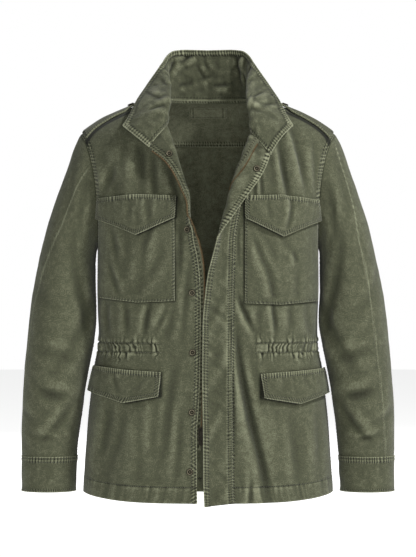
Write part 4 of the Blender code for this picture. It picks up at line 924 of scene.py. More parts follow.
FRONT_WIDTH = 205.0
FRONT_HEM_ROW = 29.0
FRONT_EDGE_ROWS = {1: (2.0,), -1: (3.2, 9.0)}
FLAT_ROWS = placed(HEM_FRONT_Z, ARMPIT_Z, 2.8, 1.8, [(-729, -698), (-480, -430)])
LAPEL_SHARES = 1 - (1 - np.linspace(0, 1, 26)[1:]) ** 1.5
for name, side in SIDES:
    neck = neck_level(side)
    levels = np.concatenate([level_of(FLAT_ROWS[:-1], 0.0), np.linspace(0, neck, 100)])
    zones = [(0, 10), (FRONT_WIDTH - 10, FRONT_WIDTH)] if side == 1 else [(0, 10)]
    shares = placed(0, FRONT_WIDTH, 1.6, 1.2, zones) / FRONT_WIDTH
    fold = np.array([front_edge(side, level)["fold"] for level in levels])[:, None]
    rows = []
    for level in levels:
        line = main_line(side, level)
        end = fly_seam_share(level, line) - SEAM_GAP / 2 / lengths(line)[-1] if side == 1 else 1
        row = sample(line, shares * end)
        rows.append(row if side == 1 else np.vstack([row, sample(lapel_line(side, level), LAPEL_SHARES)]))
    points = np.array(rows)
    across, edge_away, up, _ = edges_away(points)
    x, z = points[..., 0], points[..., 2]
    at_armhole = levels > 0.01
    arm_high, arm_pale = topstitched(up, across, ARM_ROWS, 41 + side, rope=0.4)
    side_high, side_pale = topstitched(up, across, (2.5,), 43 + side, rope=0.35, rise=0.2)
    outer_high = np.where(at_armhole[:, None], arm_high, side_high)
    outer_pale = np.where(at_armhole[:, None], arm_pale, side_pale)
    hem_high, hem_pale = hemmed(across, up, FRONT_HEM_ROW, 45 + side)
    pressed = {"pitch": 5.2, "rise": 0.2} if side == 1 else {"pitch": 5.6}
    edge_seed = 47 if side == 1 else 48
    edge_high, edge_pale = topstitched(up, edge_away, FRONT_EDGE_ROWS[side], edge_seed, rope=0.5, **pressed)
    main_width = across[:, len(shares) - 1 : len(shares)]
    gather = gathers(FRONT_WIDTH * across / main_width, z, 23 + side)
    gather = gather * smooth(np.abs(x), FRONT_GATHER_X - 3, FRONT_GATHER_X + 7)
    on_main = (np.arange(points.shape[1]) < len(shares)) | (side == 1)
    roll_away = main_width - across
    if side == -1:
        flat_share = 1 - fold * (1 - smooth(roll_away, 0, 16))
        share = np.where(on_main, flat_share, smooth(edge_away, 0, 30) * (1 - fold))
        seen = np.where(on_main, 1, 1 - 2 * fold)
    else:
        share, seen = smooth(edge_away, 0, 10), 1.0
    push = front_push(x, z) * share * smooth(across, 0, 18)
    if side == -1:
        swell = 0.9 * ripple(up / 17, across / 15, 57) * smooth(-roll_away, 0, 10)
        push = push + fold * np.where(on_main, 0, swell)
    push = push + gather + outer_high + hem_high + edge_high * seen
    # Painted light and shade: the gathers' ridges are paler and their troughs darker, and the epaulette's
    # shadow is painted dark on the shoulder.
    pale = outer_pale + hem_pale + edge_pale + 0.12 * gather - 2.4 * painted_strap_shadow(points) * (z > -75)
    # Painted shadow: the front is darker next to each pocket's and flap's sides and lower edge.
    for patches in (CHEST_POCKET, CHEST_FLAP, HIP_FLAP):
        pale = pale - 1.1 * painted_shadow_beside(np.abs(x), z, patches[side]) * on_main
    data = pushed(points, (0, -1, 0), push, pale, seen)
    group = "front_" + name
    stitch_rows(group, data[at_armhole], left=ARM_ROWS)
    stitch_rows(group, data, right=FRONT_EDGE_ROWS[side], low=(FRONT_HEM_ROW,))
    gathered = np.abs(x[len(FLAT_ROWS) // 2]) > FRONT_GATHER_X
    for row in ELASTIC_ROWS:
        stitches(group, column_line(data[: len(FLAT_ROWS), gathered], z[: len(FLAT_ROWS), gathered], row))
    last = data[-1, : len(shares)]
    data = turned_in(data, count=13, wall=1.5)
    if side == -1:
        data = turned_in(data.swapaxes(0, 1)[::-1], count=16, wall=CLOTH)[::-1].swapaxes(0, 1)
    body = sewn_sheet(f"front_{name}_cloth", data, OLIVE)
    neck_levels = neck + (1 - neck) * (1 - (1 - np.linspace(0, 1, 30)) ** 2.0)
    points = np.array([sample(main_line(side, level + 2e-6), shares) for level in neck_levels])
    across = run_across(points)
    arm_high, arm_pale = topstitched(run_up(points), across, ARM_ROWS, 51 + side, rope=0.4)
    fade = smooth(neck_levels, 1, neck + 0.6 * (1 - neck))[:, None]
    push = (front_push(points[..., 0], points[..., 2]) * smooth(across, 0, 18) + arm_high) * fade
    # The epaulette's shadow is painted dark on the shoulder here too.
    data = pushed(points, (0, -1, 0), push, arm_pale * fade - 2.4 * painted_strap_shadow(points))
    if side == -1:
        data[0, :, :3] = last[:, :3]
    top = sewn_sheet("shoulder_part", data, OLIVE)
    bpy.ops.object.select_all(action="DESELECT")
    top.select_set(True)
    body.select_set(True)
    bpy.context.view_layer.objects.active = body
    bpy.ops.object.join()
    edited(body, bpy.ops.mesh.remove_doubles, threshold=2e-5)
    dressed(body, group, flat=(0.26, 0.76), area=0.15, held="gathered")
    sew(group)


# The fly: a double strip of the same cotton that covers the zip, sewn to the left front by a seam
# with a pressed ridge, and turned back above with the collar. Two rows of stitches run by its edge.
DOUBLE_CLOTH = 2.6
FLY_WIDTH, FLY_DROP, FLY_DROP_TOP_Z = 52.0, 5.5, -670.0
FLY_EDGE_ROWS, FLY_SEAM_ROWS = (3.4, 9.2), (0.8, 7.2)
FLY_FLAT_COLUMNS = 14
flat_levels = level_of(placed(HEM_FRONT_Z, ARMPIT_Z, 1.9, 1.9, [])[:-1], 0.0)
levels = np.concatenate([flat_levels, np.linspace(0, neck_level(1), 120)])
fold = np.array([front_edge(1, level)["fold"] for level in levels])[:, None]
rows = []
for level in levels:
    line = main_line(1, level)
    start_share = fly_seam_share(level, line) + SEAM_GAP / 2 / lengths(line)[-1]
    flat_part = sample(line, np.linspace(start_share, 1, FLY_FLAT_COLUMNS))
    row = np.vstack([flat_part, sample(lapel_line(1, level), LAPEL_SHARES)])
    near_hem = np.clip((FLY_DROP_TOP_Z - row[:, 2]) / (FLY_DROP_TOP_Z - HEM_FRONT_Z), 0, 1)
    row[:, 2] -= FLY_DROP * near_hem * np.clip((row[0, 0] - row[:, 0]) / FLY_WIDTH, 0, 1)
    rows.append(row)
points = np.array(rows)
across, edge_away, up, top_away = edges_away(points)
rope = 0.3 + 0.3 * fold
edge_high, edge_pale = topstitched(up, edge_away, FLY_EDGE_ROWS, 61, pitch=5.4, rope=rope, slant=0.25)
seam_high, seam_pale = topstitched(up, across, FLY_SEAM_ROWS, 62, pitch=4.8, rise=0.3, rope=0.3, slant=0.1)
# The pressed ridge next to the seam is made paler, partly wear and partly painted light, and the seam's groove
# is painted darker as shade.
seam_pale = seam_pale + 0.5 * hump(across, 9.4, 1.2) - 0.7 * hump(across, 0, 1.6)
dents = 2.2 * ripple((up + 1.2 * across) / 30, across / 34, 63)
dents = dents + 0.9 * ripple((up - 0.8 * across) / 12, across / 20, 64)
dents = dents * smooth(np.minimum(across, edge_away), 2, 14)
turned_part = (np.arange(points.shape[1]) >= FLY_FLAT_COLUMNS) * fold
seen = 1 - 2 * turned_part
seam_puckers = 1.6 * ripple(up / 7, across / 40, 66) * np.exp(-(top_away / 16))
push = creased(points[..., 0], points[..., 2], FRONT_FOLDS, taper=True)
push = push * smooth(edge_away, 0, 25) * (1 - turned_part)
push = push + (dents + edge_high) * seen + seam_high + seam_puckers
data = pushed(points, (0, -1, 0), push, edge_pale + seam_pale, seen)
stitch_rows("fly", data, left=FLY_SEAM_ROWS, right=FLY_EDGE_ROWS)
fly = sewn_sheet("fly_left_cloth", data, OLIVE, wall=DOUBLE_CLOTH)
dressed(fly, "fly_left", flat=(0.062, 0.72), held="folded")
sew("fly")


# The sleeves: tubes of the same cotton, set into the armholes and narrowing to the cuffs. A pressed
# seam runs down the front of each, and soft folds cross the elbow and forearm.
SLEEVE = table(
    "outer_x outer_z inner_x inner_z depth forward oval",
    (236, -62, 203.5, -270, 60, 0, 0), (247, -86, 205.5, -277, 61, 0, 0.35),
    (261, -126, 206.5, -288, 62, 1, 0.7), (279, -176, 207.2, -303, 63, 2, 0.9),
    (297, -232, 207.2, -323, 64, 4, 1), (313, -300, 206.8, -352, 64, 6, 1),
    (325, -372, 206.5, -398, 62, 9, 1), (332, -440, 211, -446, 59, 12, 1),
    (338, -505, 221.5, -502, 55, 14, 1), (341.5, -570, 230.5, -564, 50, 14, 1),
    (342.5, -618, 237, -613, 45, 13, 1), (342.5, -652, 241, -652, 42, 12, 1),
)
SLEEVE_SIDES = 160
SLEEVE_SEAM_ROW = 2.4
SLEEVE_CREASES = table(
    "turn1 step1 turn2 step2 push width",
    (165, 5.2, 96, 8.0, -4.2, 0.24),
    (70, 8.3, 124, 8.7, -4.4, 0.17),
    (80, 10.2, 146, 8.8, -3.6, 0.17),
    (64, 7.1, 136, 7.6, -2.2, 0.2),
    (60, 9.8, 112, 10.2, -2.0, 0.14),
    (95, 2.6, 124, 5.6, -3.4, 0.24),
    (120, 4.4, 150, 6.8, -2.6, 0.2),
    (40, 0.8, 84, 3.8, -2.0, 0.26),
    (84, 0.6, 108, 3.2, -2.4, 0.22),
    (20, 5.0, 84, 6.1, -1.4, 0.2),
    (16, 8.7, 66, 9.4, -1.4, 0.16),
    (210, 7.2, 300, 8.0, -3.4, 0.2),
    (220, 8.6, 310, 9.0, -2.6, 0.16),
    (230, 5.8, 300, 7.0, -3.6, 0.26),
    (240, 2.8, 300, 4.6, -2.4, 0.24),
    (200, 5.0, 290, 6.0, -2.4, 0.2),
)
SLEEVE_SEAM = {
    1: table("step turn", (0, 20), (1, 30), (2, 39), (3, 50), (4, 60), (6, 58), (11, 50)),
    -1: table("step turn", (0, 60), (3.4, 60), (4.5, 50), (6.5, 26), (11, 14)),
}


def armhole_ring(sides):
    """The armhole seam as seen from the sleeve, from the shoulder tip down the front and up the back."""
    halves = []
    for back in (False, True):
        levels = 0.5 + 0.5 * np.cos(np.linspace(0, np.pi, 400))
        x = between(levels, ARMHOLE["level"], ARMHOLE["x"])
        z = height(np.maximum(levels, 1e-9), x, back)
        halves.append(sample(body_points(x, z, back), np.linspace(0, 1, sides // 2 + 1)))
    ring = np.vstack([halves[0], halves[1][-2:0:-1]])
    ring[:, 0] += SEAM_GAP
    return ring


def sleeve_ring(step, ring, turn):
    """The sleeve's ring at a step of its table."""
    steps = np.arange(len(SLEEVE["depth"]))
    row = {name: float(between(step, steps, SLEEVE[name])) for name in SLEEVE}
    outer = np.array([row["outer_x"] + SEAM_GAP, 0, row["outer_z"]])
    inner = np.array([row["inner_x"] + SEAM_GAP, 0, row["inner_z"]])
    middle, half = (outer + inner) / 2, (outer - inner) / 2
    size = np.linalg.norm(half)
    along = half / size
    across = np.array([along[2], 0, -along[0]])
    start_outer = np.array([SLEEVE["outer_x"][0] + SEAM_GAP, 0, SLEEVE["outer_z"][0]])
    start_inner = np.array([SLEEVE["inner_x"][0] + SEAM_GAP, 0, SLEEVE["inner_z"][0]])
    first, start_half = (start_outer + start_inner) / 2, (start_outer - start_inner) / 2
    start = np.linalg.norm(start_half)
    up = start_half / start
    sideways = np.array([up[2], 0, -up[0]])
    oval = row["oval"]
    a = (1 - oval) * ((ring - first) @ up) / start + oval * np.cos(turn)
    b = (1 - oval) * ((ring - first) @ sideways) / start
    c = (1 - oval) * ring[:, 1] / SLEEVE["depth"][0] - oval * np.sin(turn)
    points = middle + (a * size)[:, None] * along + (b * size)[:, None] * across
    points[:, 1] += c * row["depth"] - row["forward"]
    return points


def sleeve_push(turn, step, rows):
    """The sleeve's folds, whose places are a turn in degrees and a step of the sleeve's table."""
    scaled = {
        "x1": rows["turn1"] / 60, "z1": rows["step1"], "x2": rows["turn2"] / 60, "z2": rows["step2"],
        "push": rows["push"], "width": rows["width"],
    }
    return creased(turn / 60, step, scaled, taper=True)


turn = 2 * np.pi * np.arange(SLEEVE_SIDES) / SLEEVE_SIDES
ring = armhole_ring(SLEEVE_SIDES)
sleeve_steps = np.linspace(0, 11, 270)
rings = ring_closed(np.array([sleeve_ring(step, ring, turn) for step in sleeve_steps]))
degrees, step = np.broadcast_arrays(np.append(np.degrees(turn), 360)[None], sleeve_steps[:, None])
across, last_away, up, from_cuff = edges_away(rings)
for name, side in SIDES:
    seam_turn = between(sleeve_steps, SLEEVE_SEAM[side]["step"], SLEEVE_SEAM[side]["turn"])
    at_seam = [np.interp(turn, angles, line) for turn, angles, line in zip(seam_turn, degrees, across)]
    from_seam = across - np.array(at_seam)[:, None]
    seam_row = (SLEEVE_SEAM_ROW,)
    seam_high, seam_pale = topstitched(up, np.abs(from_seam), seam_row, 71 + side, rope=0.25, rise=0.4)
    # A paler line down the seam, weaker lower down the sleeve.
    seam_line_pale = 0.5 * hump(from_seam, 0, 1.3) * (1 - 0.7 * smooth(step, 4.5, 6.5))
    seam_pale = 0.12 * seam_pale + seam_line_pale
    under = across - across[:, SLEEVE_SIDES // 2, None]
    low_high, low_pale = topstitched(up, np.abs(under), seam_row, 73 + side, rope=0.3, rise=0.2)
    arm_groove = hump(up, 0, 2.2)
    ends = smooth(up, 0, 24) * smooth(from_cuff, 0, 14)
    joined = smooth(last_away, 0, 50)
    swell = slack(across, from_cuff, 75 + side) * joined
    swell = 1.3 * (swell + slack(-last_away, from_cuff, 75 + side) * (1 - joined))
    shifted = degrees + (0 if side == 1 else 8)
    push = sleeve_push(shifted, step, SLEEVE_CREASES) * (1 if side == 1 else 0.75)
    push = (push + swell) * ends + (seam_high + low_high) * smooth(up, 4, 20) - 0.8 * arm_groove
    # The armhole seam's groove is painted darker, as shade.
    pale = (seam_pale + low_pale) * smooth(up, 4, 20) - 0.7 * arm_groove
    data = mirrored(pushed(rings, (-1, 0, -0.1), push, pale), side, ring=True)
    data[..., 8] = from_cuff
    group = "sleeve_" + name
    front_half = np.s_[12:, : SLEEVE_SIDES // 2]
    stitches(group, row_line(data[front_half], from_seam[front_half], SLEEVE_SEAM_ROW))
    sleeve = sewn_sheet(f"{group}_cloth", data, OLIVE, ring=True)
    dressed(sleeve, group, flat=(0.42, 0.61), area=0.2, held="hung")
    sew(group)


# The collar: two layers of the same cotton with a stiffener, sewn into the neck, standing at the back
# and turned open in front. Two rows of stitches run round its three free edges and pucker them.
COLLAR_WALL = 3.0
COLLAR = table(
    "at mid_x mid_y mid_z top_x top_y top_z",
    (0.00, 0, 79, 55, 0, 74, 104),
    (0.15, 40, 73, 55, 40, 70, 104.5),
    (0.23, 62, 62, 53, 64, 59, 101.5),
    (0.29, 74, 48, 50, 78, 46, 90.5),
    (0.42, 58, -10, 45, 92, 22, 62),
    (0.56, 46, -62, 22, 113, 0, 28),
    (0.69, 46, -98, 4, 131, -42, -5),
    (0.80, 66, -110, -22, 142, -68, -32),
    (1.00, 129, -110, -72, 153.5, -86, -52),
)
COLLAR_GAP = (0.5, 2.1)
COLLAR_LENGTH = 560.0
COLLAR_EDGE_ROWS, COLLAR_SEAM_ROWS = (3.4, 9.0), (2.6, 5.6)
COLLAR_CREASES = folds(
    (-52, 96, -66, 34, 4.5, 5),
    (-70, 92, -52, 62, 3, 4),
    (-66, 60, -78, 34, 2.6, 5),
    (28, 90, 52, 76, 4.5, 4.5),
    (44, 88, 78, 84, 3.5, 4),
    (66, 82, 84, 50, 4, 6),
    (8, 84, 2, 54, 1.6, 5),
    (20, 72, 12, 44, 1.8, 5),
    (-12, 50, 24, 40, 1.4, 6),
    (-40, 36, -6, 28, 2, 6),
    (30, 40, 62, 26, 2, 6),
    (-150, 50, -175, 28, 2.2, 7),
    (-190, 70, -214, 44, 2.2, 6),
    (-200, 40, -222, 22, 2.4, 5),
    (-226, 26, -250, 48, 2.6, 6),
    (-240, 60, -228, 84, 2, 6),
    (150, 60, 172, 30, 2.2, 7),
    (196, 76, 222, 40, 2.4, 6),
    (232, 22, 252, 52, 2.6, 6),
    (205, 30, 226, 58, 2, 6),
    (96, 40, 120, 72, 2, 7),
    (-104, 44, -124, 76, 2, 7),
)


def collar_line(part, keys):
    """Points of the collar's bend or top edge, from its left end (-1) to its right end (1)."""
    line = np.stack([between(np.abs(keys), COLLAR["at"], COLLAR[f"{part}_{axis}"]) for axis in "xyz"], -1)
    line[:, 0] *= -np.sign(keys)
    return line


def neck_seam(side):
    """The neck edge of one front, from the free edge of its turned-back part to the side of the neck."""
    level = neck_level(side)
    turned = lapel_line(side, level)[::-1]
    if side == 1:
        line = main_line(1, level)
        share = fly_seam_share(level, line)
        turned = np.vstack([turned, sample(line, np.linspace(1, share, 12))])
    levels = level + (1 - level) * (1 - (1 - np.linspace(0, 1, 60)[1:]) ** 2)
    x = np.array([neckline_x(side, at) for at in levels])
    return np.vstack([turned, body_points(x, height(levels, x)) * [side, 1, 1]])


yoke_x = np.linspace(NECK_SIDE_X, -NECK_SIDE_X, 121)[1:-1]
yoke_neck = body_points(yoke_x, yoke_top_z(yoke_x), True)
left_neck = neck_seam(1)
seam = np.vstack([left_neck, yoke_neck, neck_seam(-1)[::-1]])
middle = len(left_neck) + len(yoke_neck) // 2
run = lengths(seam)
keys = np.where(run < run[middle], run / run[middle] - 1, (run - run[middle]) / (run[-1] - run[middle]))
across_keys = placed(-1, 1, 2 / COLLAR_LENGTH * 1.9, 2 / COLLAR_LENGTH * 1.2, [(-1, -0.95), (0.95, 1)])
first = read_at(seam, keys, across_keys)
bend, top = collar_line("mid", across_keys), collar_line("top", across_keys)
lift = bend - first
gap = np.interp(np.abs(across_keys), (0.5, 0.6), COLLAR_GAP)[:, None]
first = first + lift / np.linalg.norm(lift, axis=1, keepdims=True) * (gap - 0.4)
t = placed(0, 1, 0.024, 0.014, [(0, 0.08), (0.85, 1)])[:, None, None]
grid = (1 - t) ** 2 * first + 2 * (1 - t) * t * bend + t**2 * top
across, right_away, up, top_away = edges_away(grid)
end_away = np.minimum(across, right_away)
free_away = np.minimum(top_away, end_away)
along = np.where(top_away < end_away, across, up + 900)
edge_high, edge_pale = topstitched(along, free_away, COLLAR_EDGE_ROWS, 81, pitch=5.2, rope=0.55, slant=0.15)
seam_high, seam_pale = topstitched(across, up, COLLAR_SEAM_ROWS, 83, pitch=5.4, rope=0.4, slant=0.2)
edge_pale = edge_pale - 0.5 * hump(free_away, 11, 1.6)
flat_x = across - across[:, -1:] / 2
wrinkles = 1.2 * creased(flat_x, up, COLLAR_CREASES, taper=True) + 0.9 * slack(flat_x * 1.6, up * 1.7, 85)
wrinkles = wrinkles + 0.8 * ripple(flat_x / 9, up / 11, 88)
wrinkles = wrinkles + 0.9 * ripple(flat_x / 5, up / 30, 89) * np.exp(-free_away / 18)
push = wrinkles * smooth(free_away, 6, 14) * smooth(up, 0, 12) - edge_high - seam_high
shade = 0.22 * (1 - smooth(np.abs(flat_x), 70, 95)) * smooth(free_away, 8, 16)
data = pushed(grid, (0, 1, 0.2), push, edge_pale + seam_pale - shade, -1.0)
edge_rows = COLLAR_EDGE_ROWS
stitch_rows("collar", data, left=edge_rows, right=edge_rows, low=COLLAR_SEAM_ROWS[:1], top=edge_rows)
collar = sewn_sheet("collar_cloth", data, OLIVE, wall=COLLAR_WALL)
dressed(collar, "collar", flat=(0.56, 0.1), held="folded")
sew("collar")


# The neck binding: a narrow strip folded over the seam between the collar and the yoke. It shows
# inside the neck as a ridge with a sunken row of stitches.
BINDING_LOW, BINDING_TOP, BINDING_WALL = -4.5, 5.5, 0.8
binding_x = np.linspace(NECK_SIDE_X - 3, 3 - NECK_SIDE_X, 150)
seam_at = body_points(binding_x, yoke_top_z(binding_x), True)
lean = smooth(np.abs(binding_x), 60, 86)[:, None] * np.sign(binding_x)[:, None] * [-1.0, 0, 0]
inside = np.array([0, -1.0, 0]) * (1 - np.abs(lean).sum(1, keepdims=True)) + lean
rows = []
for rise in np.linspace(BINDING_LOW, BINDING_TOP, 12):
    round_out = 3.5 + 1.3 * hump(rise, 0.5, 2.2)
    rows.append(seam_at + [0, 0, rise] + inside * round_out)
grid = np.array(rows)
along = run_across(grid)
high, pale = topstitched(along, np.abs(run_up(grid) - 3.2), (0.0,), 87, pitch=5.0, rope=0.25, rise=0.1)
data = pushed(grid, (0, -1, 0), high, pale + 0.45 * hump(run_up(grid), 6.5, 1.6))
binding = sewn_sheet("neck_seam_binding", data, OLIVE, wall=BINDING_WALL)
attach(binding, "jacket")


# The cuffs: a double band at each wrist, sewn to the sleeve under two rows of stitches, with one more
# row by its lower edge. Their grids run downwards.
CUFF = table(
    "z outer inner depth forward",
    (-652.3, 343.2, 240.3, 42.7, 12),
    (-684, 343.2, 242.2, 41, 12),
    (-717, 343.2, 243.6, 40, 12),
)
CUFF_TOP_ROWS, CUFF_LOW_ROWS = (3.2, 9.4), (4.0,)
cuff_z = placed(CUFF["z"][-1], CUFF["z"][0], 1.9, 1.2, [(-717, -709), (-666, -652)])[::-1]
turn = 2 * np.pi * np.arange(150) / 150
rings = []
for z in cuff_z:
    row = {name: float(np.interp(-z, -CUFF["z"], CUFF[name])) for name in CUFF}
    middle = (row["outer"] + row["inner"]) / 2
    x = middle + (row["outer"] - middle) * np.cos(turn)
    rings.append(np.stack([x, -row["depth"] * np.sin(turn) - row["forward"], np.full(len(turn), z)], -1))
rings = ring_closed(np.array(rings))
across, _, down, low_away = edges_away(rings)
around = np.cos(2 * np.pi * across / across[:, -1:])
for name, side in SIDES:
    top_high, top_pale = topstitched(across, down, CUFF_TOP_ROWS, 91 + side, pitch=5.2, rope=0.55, slant=0.1)
    low_high, low_pale = topstitched(
        across, low_away, CUFF_LOW_ROWS, 93 + side, pitch=4.2, rope=0.45, slant=0.1
    )
    soft = 0.7 * ripple(3 * around + 2 * side, down / 30, 95 + side)
    soft = soft + 0.3 * ripple(8 * around, down / 14, 97 + side)
    push = soft * smooth(np.minimum(down, low_away), 0, 20) + top_high + low_high
    data = mirrored(pushed(rings, (-1, 0, 0), push, top_pale + low_pale), side, ring=True)
    group = "cuff_" + name
    stitch_rows(group, data, low=CUFF_TOP_ROWS, top=CUFF_LOW_ROWS)
    cuff = sewn_sheet(f"{group}_cloth", data, OLIVE, wall=DOUBLE_CLOTH, ring=True)
    dressed(cuff, group, slot="cloth_edge", flat=(0.26, 0.065), held="folded")
    sew(group)


# The pockets and flaps: full chest pockets with pointed flaps, and a pair of flaps at the hips. Each
# is cut from the same cotton and stitched down; the flaps are double, with stitches all round.
LAID_GAP, SIDE_GAP = 0.6, 1.4
POCKET_FULLNESS, CHEST_FLAP_RISE, HIP_FLAP_RISE = 5.0, 8.0, 3.6
POCKET_ROW, FLAP_ROWS, FLAP_TOP_ROW = (2.4,), (2.2, 6.4), (7.4,)
POCKET_CREASES = {
    1: folds(
        (14, 118, 42, 66, -3.4, 8),
        (38, 74, 56, 0, -3.4, 8),
        (26, 138, 60, 74, -1.6, 9),
        (90, 96, 104, 74, -2.6, 6),
        (96, 60, 104, 4, -1.2, 8),
        (74, 130, 82, 90, -1.2, 8),
    ),
    -1: folds(
        (42, 140, 56, 96, -2.6, 7),
        (16, 100, 60, 30, -1.9, 9),
        (60, 118, 66, 8, -1.5, 9),
        (122, 128, 112, 70, -2.2, 8),
        (128, 66, 108, 6, -2.2, 7),
        (92, 120, 96, 40, -1.2, 10),
    ),
}
FLAP_CREASES = {
    ("chest_flap", 1): folds((88, 70, 84, 8, -3, 6), (42, 60, 46, 20, -1.4, 7)),
    ("chest_flap", -1): folds(
        (50, 64, 48, 14, -2.2, 6), (86, 64, 88, 20, -1.8, 7), (70, 60, 72, 10, -1.4, 6)
    ),
    ("hip_flap", 1): folds((46, 48, 40, 14, -1.2, 7), (86, 50, 96, 16, -1.2, 7)),
    ("hip_flap", -1): folds((30, 46, 44, 12, -1.4, 7), (90, 46, 80, 12, -1.4, 7)),
}


def patch_grid(patch, side, columns, rows, rise, wall):
    """Points of a pocket or flap that lies on a front, from its lower edge up, as its outer face."""
    u = np.linspace(0, 1, columns)
    x, lean = (between(u, patch["share"], patch[name]) for name in ("x", "lean"))
    top, low = (np.interp(u, patch["share"], patch[name]) for name in ("top", "bottom"))
    found = []
    for v in np.linspace(1, 0, rows):
        z = top * (1 - v) + low * v
        half = between(z, BODY["z"], BODY["half"])
        near = np.minimum(x + lean * v, half - 0.4)
        out = LAID_GAP + SIDE_GAP * (near / half) ** 6 + rise(u, v, top - z) + wall
        side_step = (depth(near + 0.001, z) - depth(near - 0.001, z)) / 0.002
        up_step = (depth(near, z + 0.2) - depth(near, z - 0.2)) / 0.4
        normal = np.stack([-side_step, -1 + 0 * near, -up_step], -1)
        normal /= np.linalg.norm(normal, axis=1, keepdims=True)
        flat = body_points(near, z) * [side, 1, 1]
        out = out + front_push(flat[:, 0], flat[:, 2])
        found.append(flat + normal * [side, 1, 1] * out[:, None])
    return np.array(found)


def free_edges(grid):
    """Distances over a pocket or flap: across it, up, from its top, and from its free edges and along them."""
    across, right_away, up, top_away = edges_away(grid)
    sides_away = np.minimum(across, right_away)
    return across, up, top_away, np.minimum(sides_away, up), np.where(up < sides_away, across, up + 300)


def crown(u):
    return np.sqrt(np.clip(4 * u * (1 - u), 0, 1))


def pocket_rise(u, v, drop):
    return POCKET_FULLNESS * crown(u) * np.sin(np.pi * v) ** 0.7


def chest_flap_rise(u, v, drop):
    return CHEST_FLAP_RISE * (1 - np.exp(-drop / 18)) * (0.55 + 0.45 * crown(u))


def hip_flap_rise(u, v, drop):
    return HIP_FLAP_RISE * (1 - np.exp(-drop / 20)) + 1.5 * u**4


for name, side in SIDES:
    grid = patch_grid(CHEST_POCKET[side], side, 80, 96, pocket_rise, CLOTH)
    across, up, _, free_away, along = free_edges(grid)
    high, pale = topstitched(along, free_away, POCKET_ROW, 101 + side, pitch=5.6, rope=0.4, rise=0.25)
    soft = creased(across, up, POCKET_CREASES[side], taper=True)
    soft = soft + 0.9 * slack(across * 1.4, up * 1.4, 103 + side)
    push = soft * smooth(free_away, 2, 18) + high
    # Painted shadow: the pocket is darker just below its flap.
    flap_painted_shadow = painted_shadow_beside(np.abs(grid[..., 0]), grid[..., 2], CHEST_FLAP[side])
    data = pushed(grid, (0, -1, 0), push, pale - 1.2 * flap_painted_shadow)
    group = "chest_pocket_" + name
    stitch_rows(group, data, left=POCKET_ROW, right=POCKET_ROW, low=POCKET_ROW)
    pocket = sewn_sheet(f"{group}_cloth", data, OLIVE, wall=CLOTH)
    dressed(pocket, group, flat=(0.155, 0.18), held="stretched")
    sew(group)

    for kind, patches, rise, columns, rows, size in (
        ("chest_flap", CHEST_FLAP, chest_flap_rise, 104, 46, (0.155, 0.07)),
        ("hip_flap", HIP_FLAP, hip_flap_rise, 104, 40, (0.165, 0.065)),
    ):
        grid = patch_grid(patches[side], side, columns, rows, rise, DOUBLE_CLOTH)
        across, up, top_away, free_away, along = free_edges(grid)
        seed = 111 + side + 4 * len(kind)
        high, pale = topstitched(along, free_away, FLAP_ROWS, seed, pitch=4.6, rope=0.35, rise=0.35)
        top_high, top_pale = topstitched(
            across, top_away, FLAP_TOP_ROW, seed + 1, pitch=5.0, rope=0.5, slant=0.1
        )
        soft = 0.8 * slack(across * 1.6, up * 1.6, seed + 2)
        soft = soft + 0.9 * ripple(across / 5.5, 0 * up, seed + 3) * np.exp(-np.maximum(top_away - 7, 0) / 12)
        soft = soft + creased(across, up, FLAP_CREASES[kind, side], taper=True)
        push = soft * smooth(free_away, 2, 12) * smooth(top_away, 4, 12) + high + top_high
        data = pushed(grid, (0, -1, 0), push, pale + top_pale)
        group = f"{kind}_{name}"
        stitch_rows(group, data, left=FLAP_ROWS, right=FLAP_ROWS, low=FLAP_ROWS, top=FLAP_TOP_ROW)
        flap = sewn_sheet(f"{group}_cloth", data, OLIVE, wall=DOUBLE_CLOTH)
        area = 0.85 * size[0] * size[1]
        dressed(flap, group, slot="cloth_edge", flat=size, area=area, held="folded")
        sew(group)


# The epaulettes: double straps sewn in at the armhole, stitched round their edges and held down
# by a snap near the pointed end, under the collar.
EPAULETTE = table(
    "share front_x front_y back_x back_y lift",
    (0, 221, -37, 231, 12, 0.5),
    (0.35, 201, -37, 203, 12, 1.2),
    (0.8, 152, -35, 152, 11, 1.6),
    (1, 134, -21, 134, -3, 2.2),
)
EPAULETTE_WALL = 3.0
EPAULETTE_ROWS = (2.6, 6.4)


def shoulder_top(x, y):
    """Height of the cloth over the shoulder at x and y, and its upward direction."""

    def z_at(x, y):
        full = np.where(y > 0, BODY["back"][-1], BODY["front"][-1])
        z = shoulder_z(x)
        for _ in range(4):
            half = between(z, BODY["z"], BODY["half"])
            wide = (1 - np.minimum(x / half, 0.995) ** SIDE_ROUND) ** (1 / SIDE_ROUND)
            rise = (1 - np.clip(abs(y) / (full * wide), 0, 1) ** SHOULDER_ROUND) ** (1 / SHOULDER_ROUND)
            z = ARMPIT_Z + rise * (shoulder_z(x) - ARMPIT_Z)
        return z

    normal = np.stack([z_at(x - 1, y) - z_at(x + 1, y), z_at(x, y - 1) - z_at(x, y + 1), 2 + 0 * x], -1)
    return np.stack([x, y, z_at(x, y)], -1), normal / np.linalg.norm(normal, axis=-1, keepdims=True)


